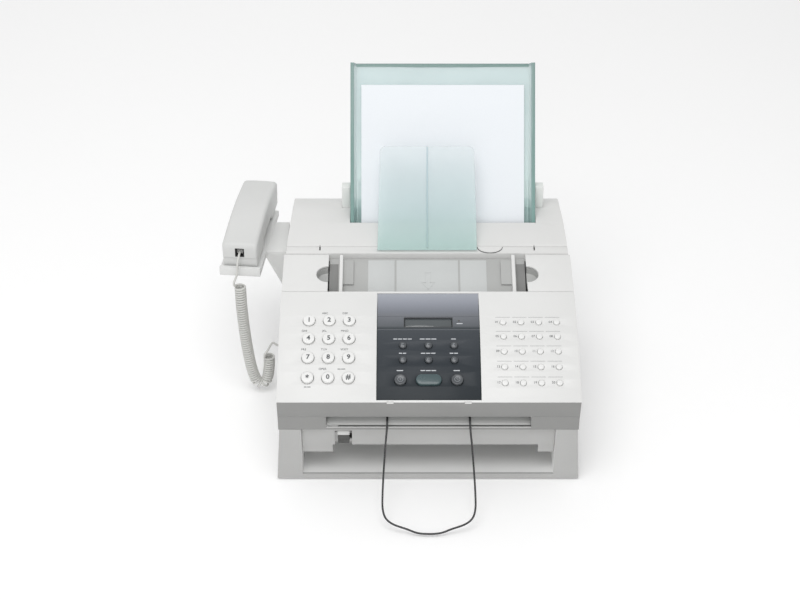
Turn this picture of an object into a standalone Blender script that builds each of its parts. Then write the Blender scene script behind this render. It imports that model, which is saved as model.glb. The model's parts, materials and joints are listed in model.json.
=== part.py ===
"""Desktop laser fax machine with a corded handset, built piece by piece.

Machine frame used by every size below: x = 0 is the middle of the body, y = 0 is the
front of its legs, z = 0 is the table.  Metres, +Z up, the user sits on the -Y side.
"""
import math

import bmesh
import bpy
from mathutils import Matrix, Vector

# ---- clearances -------------------------------------------------------------
GAP = 0.0004              # between two mouldings that touch
SLIDE_GAP = 0.0006        # round a sliding piece
WALL = 0.0025             # wall of every housing moulding

# ---- body -------------------------------------------------------------------
BODY_WIDTH = 0.373        # upper housing, side to side
FOOT_HEIGHT = 0.0025
FOOT_RADIUS = 0.009
FOOT_INSET = 0.024        # foot centre, in from the housing's bottom edges
BASE_FLARE = 0.004        # each side of the base stands out this far at the bottom
BASE_TUCK = 0.0012        # and steps in this far where the legs end
LEG_WIDTH = 0.0285
LEG_HEIGHT = 0.078        # legs, from the feet up
FRONT_BAY_DEPTH = 0.060   # open bay between the legs
BASE_SEAM_RISE = 0.0695   # the seam between base and upper unit climbs this much
REAR_COVER_DEPTH = 0.1385
COVER_SIDE_INSET = 0.0025
COVER_RISE = 0.0260       # crown of the rear cover above the wings
COVER_CROWN_BACK = 0.075  # crown, behind the front edge of the cover

# ---- operation panel ---------------------------------------------------------
PANEL_OVERHANG = 0.006
PANEL_DEPTH = 0.148       # front edge to rear edge, on plan
PANEL_RISE = 0.0642
PANEL_BULGE = 0.0077      # height of its arc over the chord
PANEL_FRONT_Z = 0.1278
BAND_HEIGHT = 0.0263      # front band of the panel, down to the exit slot

# ---- wings and feed deck -----------------------------------------------------
WING_DEPTH = 0.069
WING_RISE = 0.012
DECK_WIDTH = 0.256
DECK_THICKNESS = 0.003
SLOT_WIDTH = 0.254        # document exit slot in the front band
SLOT_LIP = 0.0035
SCOOP_RADIUS = 0.015      # finger scoops in the wings

# ---- key field ---------------------------------------------------------------
FASCIA_WIDTH = 0.1276
FASCIA_SINK = 0.0006
FASCIA_MARGIN = 0.0033    # panel left in front of and behind the fascia
NUMBER_KEY_RADIUS = 0.0075
NUMBER_COLUMN_PITCH = 0.0252
NUMBER_ROW_PITCH = 0.0272
NUMBER_FIRST_ROW = 0.0319  # along the panel, from its front edge
NUMBER_KEY_PROUD = 0.0030
ONE_TOUCH_RADIUS = 0.0038
ONE_TOUCH_PITCH = 0.0224
ONE_TOUCH_ROW_PITCH = 0.0215
ONE_TOUCH_FIRST_ROW = 0.0254
ONE_TOUCH_PROUD = 0.0018
FUNCTION_KEY_RADIUS = 0.0046
FUNCTION_PITCH = 0.0318
FUNCTION_ROWS = (0.0770, 0.0565)
LARGE_KEY_RADIUS = 0.0074
LARGE_KEY_OFFSET = 0.0350
LARGE_KEY_ROW = 0.0295
START_KEY_LENGTH = 0.0318
FUNCTION_PROUD = 0.0022
KEY_HOLE_GAP = 0.0005
KEY_FLANGE = 0.0012       # flange that keeps a key in the panel
KEY_FLANGE_DEPTH = 0.0060  # flange top, below the key's own surface point
DISPLAY_WIDTH = 0.0594
DISPLAY_START = 0.1053    # along the panel
DISPLAY_HEIGHT = 0.0135

# ---- trays -------------------------------------------------------------------
TRAY_LEAN = math.radians(56.0)   # from the horizontal
PAPER_WIDTH = 0.2159
PAPER_LENGTH = 0.2794
PAPER_STACK_HEIGHT = 0.0050
TRAY_CENTRE_X = 0.0212
TRAY_SIDE_MARGIN = 0.0142        # paper edge to tray edge
TRAY_HEIGHT = 0.2067             # above the cover
TRAY_SUNK = 0.018                # below the cover's skin
TRAY_RIM_DEPTH = 0.010
TRAY_WALL = 0.0025
TRAY_LIP_BACK = 0.0040           # lip along the top edge, turned back
TRAY_SLOT_BACK = 0.0505          # slot, behind the cover's front edge
DOC_TRAY_WIDTH = 0.1300
DOC_TRAY_LENGTH = 0.1360
DOC_TRAY_THICKNESS = 0.0030
POST_WIDTH = 0.0110
POST_DEPTH = 0.0130
POST_HEIGHT = 0.0310             # above the cover

# ---- document guides ---------------------------------------------------------
GUIDE_INSET = 0.0175              # guide's middle, in from the deck's edge
GUIDE_WIDTH = 0.006
GUIDE_HEIGHT = 0.0120
GUIDE_LENGTH = 0.036

# ---- wire tray ---------------------------------------------------------------
WIRE_DIAMETER = 0.0025
WIRE_HALF_SPAN = 0.0517
WIRE_REACH = 0.118               # forward of its hinge
WIRE_DROP = 0.0930

# ---- front cover and lever -----------------------------------------------------
COVER_PLATE = 0.0030
FRONT_COVER_HEIGHT = 0.0265
FRONT_COVER_EAR = 0.0115         # ears at both ends reach lower
NOTCH_WIDTH = 0.0215
NOTCH_X = -0.1060
LEVER_WIDTH = 0.0155

# ---- handset and cradle --------------------------------------------------------
HANDSET_YAW = math.radians(-5.5)
HANDSET_OUT = 0.0575             # front end's middle, out from the body's side
HANDSET_FRONT_Y = 0.2050
HANDSET_LENGTH = 0.170
HANDSET_WIDTH = 0.0465
HANDSET_ARCH = 0.0105            # rise of the grip's underside
FACE_LIFT = 0.0010               # ear and mouth pieces, above the cradle
CRADLE_TOP = 0.1870
CRADLE_LENGTH = 0.150
CRADLE_RIM = 0.0040
CRADLE_FLOOR = 0.0080
CRADLE_ARM_IN = 0.0220           # the arm starts this far in from the handset's middle
CRADLE_ARM_Y = (0.246, 0.322)
CRADLE_GUSSET_DROP = 0.0600

# ---- cord ----------------------------------------------------------------------
CORD_DIAMETER = 0.0038
COIL_DIAMETER = 0.0150
JACK_SIZE = 0.0100
BODY_JACK = (0.2000, 0.0630)     # y, z on the left side of the base

# ---- inside ---------------------------------------------------------------------
SENSOR_MARGIN = 0.0170           # sensor's end, in from the deck's edge
SENSOR_GAP = 0.0010              # round the sensor in its window
ROLLER_RADIUS = 0.0090
PICKUP_RADIUS = 0.0130

COLOURS = {
    "white_shell": ((0.80, 0.80, 0.78), 0.45, 0.0, 1.0),
    "grey_deck": ((0.60, 0.62, 0.61), 0.50, 0.0, 1.0),
    "base_grey": ((0.55, 0.55, 0.53), 0.55, 0.0, 1.0),
    "fascia_dark": ((0.055, 0.065, 0.075), 0.22, 0.0, 1.0),
    "display_glass": ((0.08, 0.09, 0.10), 0.10, 0.0, 1.0),
    "key_white": ((0.82, 0.82, 0.80), 0.40, 0.0, 1.0),
    "key_dark": ((0.09, 0.09, 0.10), 0.30, 0.0, 1.0),
    "start_green": ((0.10, 0.17, 0.15), 0.30, 0.0, 1.0),
    "tray_clear": ((0.50, 0.66, 0.63), 0.15, 0.0, 0.55),
    "paper_white": ((0.86, 0.88, 0.90), 0.75, 0.0, 1.0),
    "steel_wire": ((0.03, 0.03, 0.03), 0.35, 0.6, 1.0),
    "handset_shell": ((0.68, 0.69, 0.67), 0.45, 0.0, 1.0),
    "cord_grey": ((0.56, 0.56, 0.54), 0.50, 0.0, 1.0),
    "plug_clear": ((0.75, 0.75, 0.74), 0.20, 0.0, 0.8),
    "dark_plastic": ((0.05, 0.05, 0.05), 0.45, 0.0, 1.0),
    "rubber_black": ((0.03, 0.03, 0.03), 0.85, 0.0, 1.0),
    "board_green": ((0.05, 0.20, 0.10), 0.50, 0.0, 1.0),
    "zinc_steel": ((0.55, 0.55, 0.53), 0.35, 0.9, 1.0),
}

# ---- places worked out from the sizes -------------------------------------------
HALF = BODY_WIDTH / 2.0
HANDSET_FRONT = (-HALF - HANDSET_OUT, HANDSET_FRONT_Y)
BASE_BOTTOM = HALF + BASE_FLARE
BASE_TOP = HALF - BASE_TUCK
LEG_INNER = BASE_TOP - LEG_WIDTH + 0.0015
LEG_TOP_Z = FOOT_HEIGHT + LEG_HEIGHT
PANEL_REAR_Y = PANEL_DEPTH - PANEL_OVERHANG
PANEL_REAR_Z = PANEL_FRONT_Z + PANEL_RISE
WING_REAR_Y = PANEL_REAR_Y + WING_DEPTH
WING_REAR_Z = PANEL_REAR_Z + WING_RISE
BODY_DEPTH = WING_REAR_Y + REAR_COVER_DEPTH
SEAM_Z = LEG_TOP_Z + BASE_SEAM_RISE
BAND_BOTTOM_Z = PANEL_FRONT_Z - BAND_HEIGHT
SKIRT_REAR_Z = PANEL_REAR_Z - 0.0160
CROWN_Z = WING_REAR_Z + COVER_RISE
PANEL_PIVOT = Vector((0.0, -0.0005, BAND_BOTTOM_Z - GAP / 2.0))
UNIT_PIVOT = Vector((0.0, WING_REAR_Y + GAP / 2.0, WING_REAR_Z + 0.0004))
WIRE_PIVOT = Vector((0.0, 0.0120, BAND_BOTTOM_Z - 0.0045))
COVER_PIVOT = Vector((0.0, 0.0075, LEG_TOP_Z - 0.0035))
LEVER_PIVOT = Vector((NOTCH_X, 0.0200, LEG_TOP_Z - 0.0300))
TRAY_FOOT = Vector((0.0, WING_REAR_Y + TRAY_SLOT_BACK, CROWN_Z - 0.0020))
TRAY_UP = Vector((0.0, math.cos(TRAY_LEAN), math.sin(TRAY_LEAN)))
TRAY_OUT = Vector((0.0, -math.sin(TRAY_LEAN), math.cos(TRAY_LEAN)))
TRAY_WIDTH = PAPER_WIDTH + 2.0 * TRAY_SIDE_MARGIN
GUIDE_X = DECK_WIDTH / 2.0 - GUIDE_INSET
SENSOR_HALF = DECK_WIDTH / 2.0 - SENSOR_MARGIN
DOC_FOOT = Vector((0.0, WING_REAR_Y + 0.0035, WING_REAR_Z + 0.0045))

# ---- arc of the panel -------------------------------------------------------------
CHORD = math.hypot(PANEL_DEPTH, PANEL_RISE)
PANEL_SLOPE = math.atan2(PANEL_RISE, PANEL_DEPTH)
ARC_RADIUS = (CHORD * CHORD / 4.0 + PANEL_BULGE ** 2) / (2.0 * PANEL_BULGE)
ARC_HALF = math.asin(CHORD / 2.0 / ARC_RADIUS)
ARC_LENGTH = 2.0 * ARC_HALF * ARC_RADIUS
PANEL_NORMAL = Vector((0.0, -math.sin(PANEL_SLOPE), math.cos(PANEL_SLOPE)))
ARC_CENTRE = (Vector((0.0, PANEL_REAR_Y / 2.0 - PANEL_OVERHANG / 2.0,
                      (PANEL_FRONT_Z + PANEL_REAR_Z) / 2.0))
              - PANEL_NORMAL * (ARC_RADIUS - PANEL_BULGE))


def panel_point(along, x=0.0, sunk=0.0):
    """Point on the panel's skin, a distance along its arc from the front edge."""
    angle = math.pi / 2.0 + PANEL_SLOPE + ARC_HALF - along / ARC_RADIUS
    radius = ARC_RADIUS - sunk
    return Vector((x, ARC_CENTRE.y + radius * math.cos(angle),
                   ARC_CENTRE.z + radius * math.sin(angle)))


def panel_arc(start, end, steps, sunk=0.0):
    """(y, z) points along the panel's skin."""
    points = [panel_point(start + (end - start) * i / steps, sunk=sunk) for i in range(steps + 1)]
    return [(p.y, p.z) for p in points]


# ---- scene helpers -----------------------------------------------------------------
def clear_scene():
    for old in list(bpy.data.objects):
        bpy.data.objects.remove(old, do_unlink=True)


def material(name):
    existing = bpy.data.materials.get(name)
    if existing:
        return existing
    colour, roughness, metallic, alpha = COLOURS[name]
    made = bpy.data.materials.new(name)
    made.use_nodes = True
    shader = made.node_tree.nodes["Principled BSDF"]
    shader.inputs["Base Color"].default_value = (*colour, 1.0)
    shader.inputs["Roughness"].default_value = roughness
    shader.inputs["Metallic"].default_value = metallic
    shader.inputs["Alpha"].default_value = alpha
    made.diffuse_color = (*colour, alpha)
    return made


def pivot(name, place, parent):
    """Empty on a joint's axis; everything that turns or slides with it is its child."""
    empty = bpy.data.objects.new(name, None)
    bpy.context.scene.collection.objects.link(empty)
    empty.parent = parent
    parent_place = Vector(parent["place"]) if parent else Vector((0.0, 0.0, 0.0))
    empty.location = place - parent_place if parent else place
    empty["place"] = tuple(place) if parent else (0.0, 0.0, 0.0)
    return empty


def add_mesh(name, bm, colour, parent, smooth=False):
    """Turn a bmesh drawn in machine coordinates into a named object."""
    bmesh.ops.recalc_face_normals(bm, faces=bm.faces)
    mesh = bpy.data.meshes.new(name)
    bm.to_mesh(mesh)
    bm.free()
    if smooth:
        mesh.shade_smooth()
        mesh.set_sharp_from_angle(angle=math.radians(35.0))
    made = bpy.data.objects.new(name, mesh)
    bpy.context.scene.collection.objects.link(made)
    if colour:
        mesh.materials.append(material(colour))
    made.parent = parent
    made.location = -Vector(parent["place"])
    return made


def prism_mesh(bm, outline, x0, x1):
    """Extrude a (y, z) outline from x0 to x1."""
    near = [bm.verts.new((x0, y, z)) for y, z in outline]
    far = [bm.verts.new((x1, y, z)) for y, z in outline]
    bm.faces.new(near)
    bm.faces.new(list(reversed(far)))
    for i in range(len(outline)):
        j = (i + 1) % len(outline)
        bm.faces.new((near[i], far[i], far[j], near[j]))


def box_mesh(bm, low, high):
    """Axis-aligned box from its two corners."""
    outline = [(low[1], low[2]), (high[1], low[2]), (high[1], high[2]), (low[1], high[2])]
    prism_mesh(bm, outline, low[0], high[0])


def cylinder_mesh(bm, centre, axis, radius, length, sides=16):
    """Closed cylinder that starts at centre and runs along axis."""
    turn = Vector((0.0, 0.0, 1.0)).rotation_difference(Vector(axis)).to_matrix().to_4x4()
    shift = Matrix.Translation(Vector(centre) + Vector(axis).normalized() * length / 2.0)
    bmesh.ops.create_cone(bm, cap_ends=True, segments=sides, radius1=radius, radius2=radius,
                          depth=length, matrix=shift @ turn)


def prism(name, outline, x0, x1, colour, parent):
    bm = bmesh.new()
    prism_mesh(bm, outline, x0, x1)
    return add_mesh(name, bm, colour, parent)


def box(name, low, high, colour, parent):
    bm = bmesh.new()
    box_mesh(bm, low, high)
    return add_mesh(name, bm, colour, parent)


def rod(name, centre, axis, radius, length, colour, parent, sides=16):
    bm = bmesh.new()
    cylinder_mesh(bm, centre, axis, radius, length, sides)
    return add_mesh(name, bm, colour, parent, smooth=True)


def combine(target, tool, operation):
    """Boolean the target with a hidden tool object."""
    tool.hide_render = True
    tool.display_type = "WIRE"
    step = target.modifiers.new(tool.name, "BOOLEAN")
    step.operation = operation
    step.solver = "EXACT"
    step.object = tool


def cut(target, tool):
    combine(target, tool, "DIFFERENCE")


def join(target, tool):
    combine(target, tool, "UNION")


def boxes(name, corners, parent):
    """One hidden tool made of boxes that don't touch."""
    bm = bmesh.new()
    for low, high in corners:
        box_mesh(bm, low, high)
    return add_mesh(name, bm, None, parent)


# ---- base ------------------------------------------------------------------------------
def tapered_block(bm, levels, y0, y1):
    """Block whose half width changes with height; levels are (z, half width)."""
    rings = []
    for z, half in levels:
        corners = ((-half, y0), (half, y0), (half, y1), (-half, y1))
        rings.append([bm.verts.new((x, y, z)) for x, y in corners])
    bm.faces.new(rings[0])
    bm.faces.new(list(reversed(rings[-1])))
    for lower, upper in zip(rings, rings[1:]):
        for i in range(4):
            j = (i + 1) % 4
            bm.faces.new((lower[i], lower[j], upper[j], upper[i]))


def build_base(machine):
    """Open-topped lower housing with two legs, a front bay and moulded feet."""
    bm = bmesh.new()
    levels = ((FOOT_HEIGHT, BASE_BOTTOM), (LEG_TOP_Z, BASE_TOP), (SEAM_Z + 0.06, BASE_TOP))
    tapered_block(bm, levels, 0.0, BODY_DEPTH)
    base = add_mesh("base_housing", bm, "base_grey", machine)

    top = [(-0.02, LEG_TOP_Z), (0.0, LEG_TOP_Z), (WING_REAR_Y, SEAM_Z), (BODY_DEPTH + 0.02, SEAM_Z),
           (BODY_DEPTH + 0.02, SEAM_Z + 0.1), (-0.02, SEAM_Z + 0.1)]
    cut(base, prism("cut_base_top", top, -0.3, 0.3, None, machine))

    floor_z = FOOT_HEIGHT + 0.003
    bm = bmesh.new()
    draft = BASE_FLARE + BASE_TUCK
    inner = ((floor_z, BASE_BOTTOM - WALL - 0.0004), (LEG_TOP_Z, BASE_BOTTOM - draft - WALL),
             (SEAM_Z + 0.02, BASE_TOP - WALL))
    tapered_block(bm, inner, FRONT_BAY_DEPTH + WALL, BODY_DEPTH - WALL)
    cut(base, add_mesh("cut_base_inside", bm, None, machine))

    bay_floor = FOOT_HEIGHT + 0.0065
    bay = [(-0.01, bay_floor), (0.004, bay_floor), (FRONT_BAY_DEPTH, bay_floor + 0.005),
           (FRONT_BAY_DEPTH, LEG_TOP_Z + 0.03), (-0.01, LEG_TOP_Z + 0.03)]
    cut(base, prism("cut_front_bay", bay, -LEG_INNER, LEG_INNER, None, machine))

    outer = BASE_TOP - WALL - 0.0005
    pockets = [((-outer, WALL, floor_z), (-LEG_INNER - WALL, FRONT_BAY_DEPTH - 0.0005, 0.12)),
               ((LEG_INNER + WALL, WALL, floor_z), (outer, FRONT_BAY_DEPTH - 0.0005, 0.12))]
    cut(base, boxes("cut_leg_pockets", pockets, machine))

    slot_z = FOOT_HEIGHT + 0.0160
    exit_slot = [((-0.1150, FRONT_BAY_DEPTH - 0.004, slot_z),
                  (0.1580 - 0.0020, FRONT_BAY_DEPTH + WALL + 0.002, slot_z + 0.0240))]
    cut(base, boxes("cut_paper_exit", exit_slot, machine))

    openings = [((-BASE_BOTTOM - 0.01, BODY_JACK[0] - 0.0055, BODY_JACK[1] - 0.0055),
                 (-BASE_TOP + WALL + 0.004, BODY_JACK[0] + 0.0055, BODY_JACK[1] + 0.0055)),
                ((0.1100, BODY_DEPTH - WALL - 0.002, 0.0200),
                 (0.1400, BODY_DEPTH + 0.01, 0.0440))]
    cut(base, boxes("cut_sockets", openings, machine))

    bm = bmesh.new()
    for x in (-BASE_BOTTOM + FOOT_INSET, BASE_BOTTOM - FOOT_INSET):
        for y in (FOOT_INSET, BODY_DEPTH - FOOT_INSET):
            cylinder_mesh(bm, (x, y, 0.0), (0, 0, 1), FOOT_RADIUS, FOOT_HEIGHT + 0.0015, 16)
    join(base, add_mesh("feet_tool", bm, None, machine))
    return base


def build_front_cover(machine):
    """Flap between the legs that swings out from its top edge to clear a paper jam."""
    axis = pivot("front_cover_axis", COVER_PIVOT, machine)
    half = LEG_INNER - SLIDE_GAP
    y0 = 0.0055
    top = LEG_TOP_Z - 0.0012
    bottom = top - FRONT_COVER_HEIGHT
    flap = box("front_cover", (-half, y0, bottom), (half, y0 + COVER_PLATE, top), "base_grey", axis)
    ears = [((-half + 0.0002, y0 + 0.0002, bottom - FRONT_COVER_EAR),
             (-half + 0.0380, y0 + COVER_PLATE - 0.0002, bottom + 0.004)),
            ((half - 0.0200, y0 + 0.0002, bottom - FRONT_COVER_EAR),
             (half - 0.0002, y0 + COVER_PLATE - 0.0002, bottom + 0.004))]
    join(flap, boxes("front_cover_ears", ears, axis))
    notch = [((NOTCH_X - NOTCH_WIDTH / 2.0, y0 - 0.003, bottom - 0.004),
              (NOTCH_X + NOTCH_WIDTH / 2.0, y0 + COVER_PLATE + 0.003, top - 0.0045))]
    cut(flap, boxes("cut_lever_notch", notch, axis))
    return flap


def build_lever(machine):
    """Output selector lever that stands in the flap's notch."""
    axis = pivot("selector_lever_axis", LEVER_PIVOT, machine)
    half = LEVER_WIDTH / 2.0
    p = LEVER_PIVOT
    outline = [(p.y - 0.004, p.z - 0.004), (p.y + 0.004, p.z - 0.004), (p.y + 0.003, p.z + 0.010),
               (p.y - 0.006, p.z + 0.0215), (p.y - 0.0125, p.z + 0.0215), (p.y - 0.0125, p.z + 0.014)]
    return prism("selector_lever", outline, NOTCH_X - half, NOTCH_X + half, "dark_plastic", axis)


# ---- rear cover and trays ------------------------------------------------------------------
def cover_top(inset=0.0):
    """(y, z) points over the top of the rear cover, front to back."""
    y0 = WING_REAR_Y + GAP + inset
    front = (y0, WING_REAR_Z + 0.0015 - inset)
    crown = (WING_REAR_Y + COVER_CROWN_BACK, CROWN_Z - inset)
    back = (BODY_DEPTH - inset, CROWN_Z - 0.040)
    rise = [(front[0] + (crown[0] - front[0]) * t,
             front[1] + (crown[1] - front[1]) * math.sin(t * math.pi / 2.0)) for t in (0, .25, .5, .75)]
    fall = [(crown[0] + (back[0] - crown[0]) * math.sin(a), back[1] + (crown[1] - back[1]) * math.cos(a))
            for a in (math.pi * i / 12.0 for i in range(7))]
    return rise + fall


def build_rear_cover(machine):
    """Rear cover: a closed arch with a slot for the paper tray."""
    half = HALF - COVER_SIDE_INSET
    bottom = SEAM_Z + GAP
    outline = cover_top() + [(BODY_DEPTH, bottom), (WING_REAR_Y + GAP, bottom)]
    cover = prism("rear_cover", outline, -half, half, "white_shell", machine)
    soften = cover.modifiers.new("rounded_ends", "BEVEL")
    soften.width = 0.008
    soften.segments = 2
    soften.limit_method = "WEIGHT"
    weights = cover.data.attributes.new("bevel_weight_edge", "FLOAT", "EDGE")
    for edge in cover.data.edges:
        a, b = (cover.data.vertices[i].co for i in edge.vertices)
        on_end = abs(a.x - b.x) < 1e-6
        high = min(a.z, b.z) > bottom + 0.02 and a.y > WING_REAR_Y + 0.01 and b.y > WING_REAR_Y + 0.01
        weights.data[edge.index].value = 1.0 if on_end and high else 0.0

    inner = cover_top(WALL) + [(BODY_DEPTH - WALL, bottom - 0.02), (WING_REAR_Y + GAP + WALL, bottom - 0.02)]
    cut(cover, prism("cut_cover_inside", inner, -half + WALL + 0.0032, half - WALL - 0.0032, None, machine))

    foot = TRAY_FOOT
    reach = TRAY_RIM_DEPTH + TRAY_WALL + 0.0015
    slot = [((TRAY_CENTRE_X - TRAY_WIDTH / 2.0 - SLIDE_GAP, foot.y - 0.0120, foot.z - 0.035),
             (TRAY_CENTRE_X + TRAY_WIDTH / 2.0 + SLIDE_GAP, foot.y + reach + 0.014, foot.z + 0.03))]
    cut(cover, boxes("cut_tray_slot", slot, machine))

    front = [((-DECK_WIDTH / 2.0, WING_REAR_Y - 0.01, bottom - 0.01),
              (DECK_WIDTH / 2.0 + 0.0200, WING_REAR_Y + GAP + WALL + 0.002, WING_REAR_Z - 0.0180))]
    cut(cover, boxes("cut_paper_path", front, machine))

    left, right = post_spans()
    back_y = foot.y + 0.0260
    holes = [((left[0] - GAP, back_y - GAP, CROWN_Z - 0.05),
              (left[1] + GAP, back_y + POST_DEPTH + GAP, CROWN_Z + 0.02)),
             ((right[0] - GAP, back_y - GAP, CROWN_Z - 0.05),
              (right[1] + GAP, back_y + POST_DEPTH + GAP, CROWN_Z + 0.02))]
    cut(cover, boxes("cut_post_holes", holes, machine))
    return cover


def post_spans():
    """x ranges of the two hopper posts, just outside the paper tray."""
    left = TRAY_CENTRE_X - TRAY_WIDTH / 2.0 - SLIDE_GAP
    right = TRAY_CENTRE_X + TRAY_WIDTH / 2.0 + SLIDE_GAP
    return (left - POST_WIDTH, left), (right, right + POST_WIDTH)


def build_hopper_frame(machine):
    """Two posts behind the tray, joined by a bar inside the cover."""
    left, right = post_spans()
    back_y = TRAY_FOOT.y + 0.0260
    low = CROWN_Z - 0.060
    frame = box("hopper_frame", (left[0], back_y, low), (left[1], back_y + POST_DEPTH, CROWN_Z + POST_HEIGHT),
                "grey_deck", machine)
    rest = [((right[0], back_y, low), (right[1], back_y + POST_DEPTH, CROWN_Z + POST_HEIGHT))]
    join(frame, boxes("right_post", rest, machine))
    bar = [((left[0] + 0.002, back_y + 0.006, low + 0.001), (right[1] - 0.002, back_y + POST_DEPTH - 0.001,
                                                            low + 0.014))]
    join(frame, boxes("frame_bar", bar, machine))
    return frame


def tray_point(up, out, foot=None):
    """(y, z) of a point on a tray's side view."""
    p = (foot or TRAY_FOOT) + TRAY_UP * up + TRAY_OUT * out
    return (p.y, p.z)


def build_paper_tray(machine):
    """Clear upright paper tray: a back plate, raised side walls and a lip turned back along the top."""
    axis = pivot("paper_tray_axis", TRAY_FOOT, machine)
    left = TRAY_CENTRE_X - TRAY_WIDTH / 2.0
    right = TRAY_CENTRE_X + TRAY_WIDTH / 2.0
    back = -TRAY_RIM_DEPTH - TRAY_WALL
    block = [tray_point(-TRAY_SUNK, back), tray_point(-TRAY_SUNK, 0.0),
             tray_point(TRAY_HEIGHT, 0.0), tray_point(TRAY_HEIGHT, back)]
    tray = prism("paper_tray", block, left, right, "tray_clear", axis)
    hollow = [tray_point(-TRAY_SUNK - 0.01, -TRAY_RIM_DEPTH), tray_point(-TRAY_SUNK - 0.01, 0.01),
              tray_point(TRAY_HEIGHT + 0.01, 0.01), tray_point(TRAY_HEIGHT + 0.01, -TRAY_RIM_DEPTH)]
    cut(tray, prism("cut_tray_inside", hollow, left + TRAY_WALL, right - TRAY_WALL, None, axis))
    lip_low = TRAY_HEIGHT - TRAY_WALL
    lip_top = TRAY_HEIGHT - 0.0002
    lip_end = back - TRAY_LIP_BACK
    lip = [tray_point(lip_low, lip_end), tray_point(lip_low, back + 0.001),
           tray_point(lip_top, back + 0.001), tray_point(lip_top, lip_end)]
    join(tray, prism("tray_lip", lip, left + 0.0002, right - 0.0002, None, axis))
    return tray


def build_paper(machine):
    """A stack of sheets standing in the tray and running down to the pick-up roller."""
    axis = pivot("paper_stack_axis", TRAY_FOOT, machine)
    top = TRAY_HEIGHT - 0.0290
    low = top - PAPER_LENGTH
    back = -TRAY_RIM_DEPTH + GAP
    outline = [tray_point(low, back), tray_point(low, back + PAPER_STACK_HEIGHT),
               tray_point(top, back + PAPER_STACK_HEIGHT), tray_point(top, back)]
    return prism("paper_stack", outline, TRAY_CENTRE_X - PAPER_WIDTH / 2.0,
                 TRAY_CENTRE_X + PAPER_WIDTH / 2.0, "paper_white", axis)


def build_document_tray(machine):
    """Clear document rest that stands in front of the paper tray."""
    axis = pivot("document_tray_axis", DOC_FOOT, machine)
    half = DOC_TRAY_WIDTH / 2.0
    top_half = half - 0.0035
    corner = 0.007
    outline = [(-half, 0.0), (half, 0.0), (top_half, DOC_TRAY_LENGTH - corner),
               (top_half - corner * 0.3, DOC_TRAY_LENGTH - corner * 0.3),
               (top_half - corner, DOC_TRAY_LENGTH), (-top_half + corner, DOC_TRAY_LENGTH),
               (-top_half + corner * 0.3, DOC_TRAY_LENGTH - corner * 0.3),
               (-top_half, DOC_TRAY_LENGTH - corner)]
    bm = bmesh.new()
    rings = []
    for out in (0.0, DOC_TRAY_THICKNESS):
        ring = []
        for x, up in outline:
            p = DOC_FOOT + TRAY_UP * up + TRAY_OUT * out
            ring.append(bm.verts.new((x, p.y, p.z)))
        rings.append(ring)
    bm.faces.new(rings[0])
    bm.faces.new(list(reversed(rings[1])))
    for i in range(len(outline)):
        j = (i + 1) % len(outline)
        bm.faces.new((rings[0][i], rings[1][i], rings[1][j], rings[0][j]))
    return add_mesh("document_tray", bm, "tray_clear", axis)


# ---- upper unit ------------------------------------------------------------------------------
def seam_z(y):
    """Height of the seam between the base and the upper unit."""
    return LEG_TOP_Z + (SEAM_Z - LEG_TOP_Z) * y / WING_REAR_Y


def skirt_z(y):
    """Height of the panel's lower edge."""
    return BAND_BOTTOM_Z + (SKIRT_REAR_Z - BAND_BOTTOM_Z) * y / PANEL_REAR_Y


def deck_z(y):
    """Height of the document path's lower guide."""
    knots = ((0.0, FOOT_HEIGHT + LEG_HEIGHT + SLOT_LIP + 0.0015), (0.030, skirt_z(0.030) - 0.0090),
             (0.080, skirt_z(0.080) - 0.0085), (PANEL_REAR_Y, SKIRT_REAR_Z - 0.0055),
             (WING_REAR_Y, WING_REAR_Z - 0.0035))
    for (ya, za), (yb, zb) in zip(knots, knots[1:]):
        if y <= yb:
            return za + (zb - za) * (y - ya) / (yb - ya)
    return knots[-1][1]


def build_upper_housing(unit):
    """Wings, side walls and front lip of the unit that swings up for the toner."""
    rear = WING_REAR_Y
    outline = [(0.0, seam_z(0.0) + GAP), (rear, seam_z(rear) + GAP), (rear, WING_REAR_Z),
               (PANEL_REAR_Y + GAP * 2, PANEL_REAR_Z), (PANEL_REAR_Y + GAP * 2, skirt_z(PANEL_REAR_Y) - GAP),
               (0.0, skirt_z(0.0) - GAP)]
    housing = prism("upper_housing", outline, -HALF, HALF, "white_shell", unit)
    inside = [(WALL, 0.0), (rear - WALL, 0.0), (rear - WALL, WING_REAR_Z - WALL),
              (PANEL_REAR_Y + WALL, PANEL_REAR_Z - WALL), (PANEL_REAR_Y + WALL, skirt_z(PANEL_REAR_Y) + 0.002),
              (PANEL_REAR_Y - 0.002, skirt_z(PANEL_REAR_Y) + 0.002),
              (PANEL_REAR_Y - 0.002, 0.22), (WALL, 0.22)]
    cut(housing, prism("cut_upper_inside", inside, -HALF + WALL, HALF - WALL, None, unit))
    half = DECK_WIDTH / 2.0
    middle = [((-half, PANEL_REAR_Y - 0.01, 0.10), (half, rear - WALL - 0.0005, 0.25))]
    cut(housing, boxes("cut_deck_well", middle, unit))
    low_rear = [((-half, rear - WALL - 0.01, seam_z(rear) - 0.01), (half, rear + 0.01, WING_REAR_Z - 0.0200)),
                ((-half, rear - WALL - 0.01, WING_REAR_Z - 0.0078), (half, rear + 0.01, WING_REAR_Z + 0.01))]
    cut(housing, boxes("cut_rear_wall", low_rear, unit))
    slot = [((-SLOT_WIDTH / 2.0, -0.01, LEG_TOP_Z + SLOT_LIP), (SLOT_WIDTH / 2.0, 0.012, 0.15))]
    cut(housing, boxes("cut_exit_slot", slot, unit))
    bm = bmesh.new()
    scoop_y = PANEL_REAR_Y + WING_DEPTH * 0.47
    for side in (-1.0, 1.0):
        cylinder_mesh(bm, (side * (half + 0.0002), scoop_y, 0.170), (0, 0, 1), SCOOP_RADIUS, 0.05, 16)
    cut(housing, add_mesh("cut_scoops", bm, None, unit))
    return housing


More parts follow.
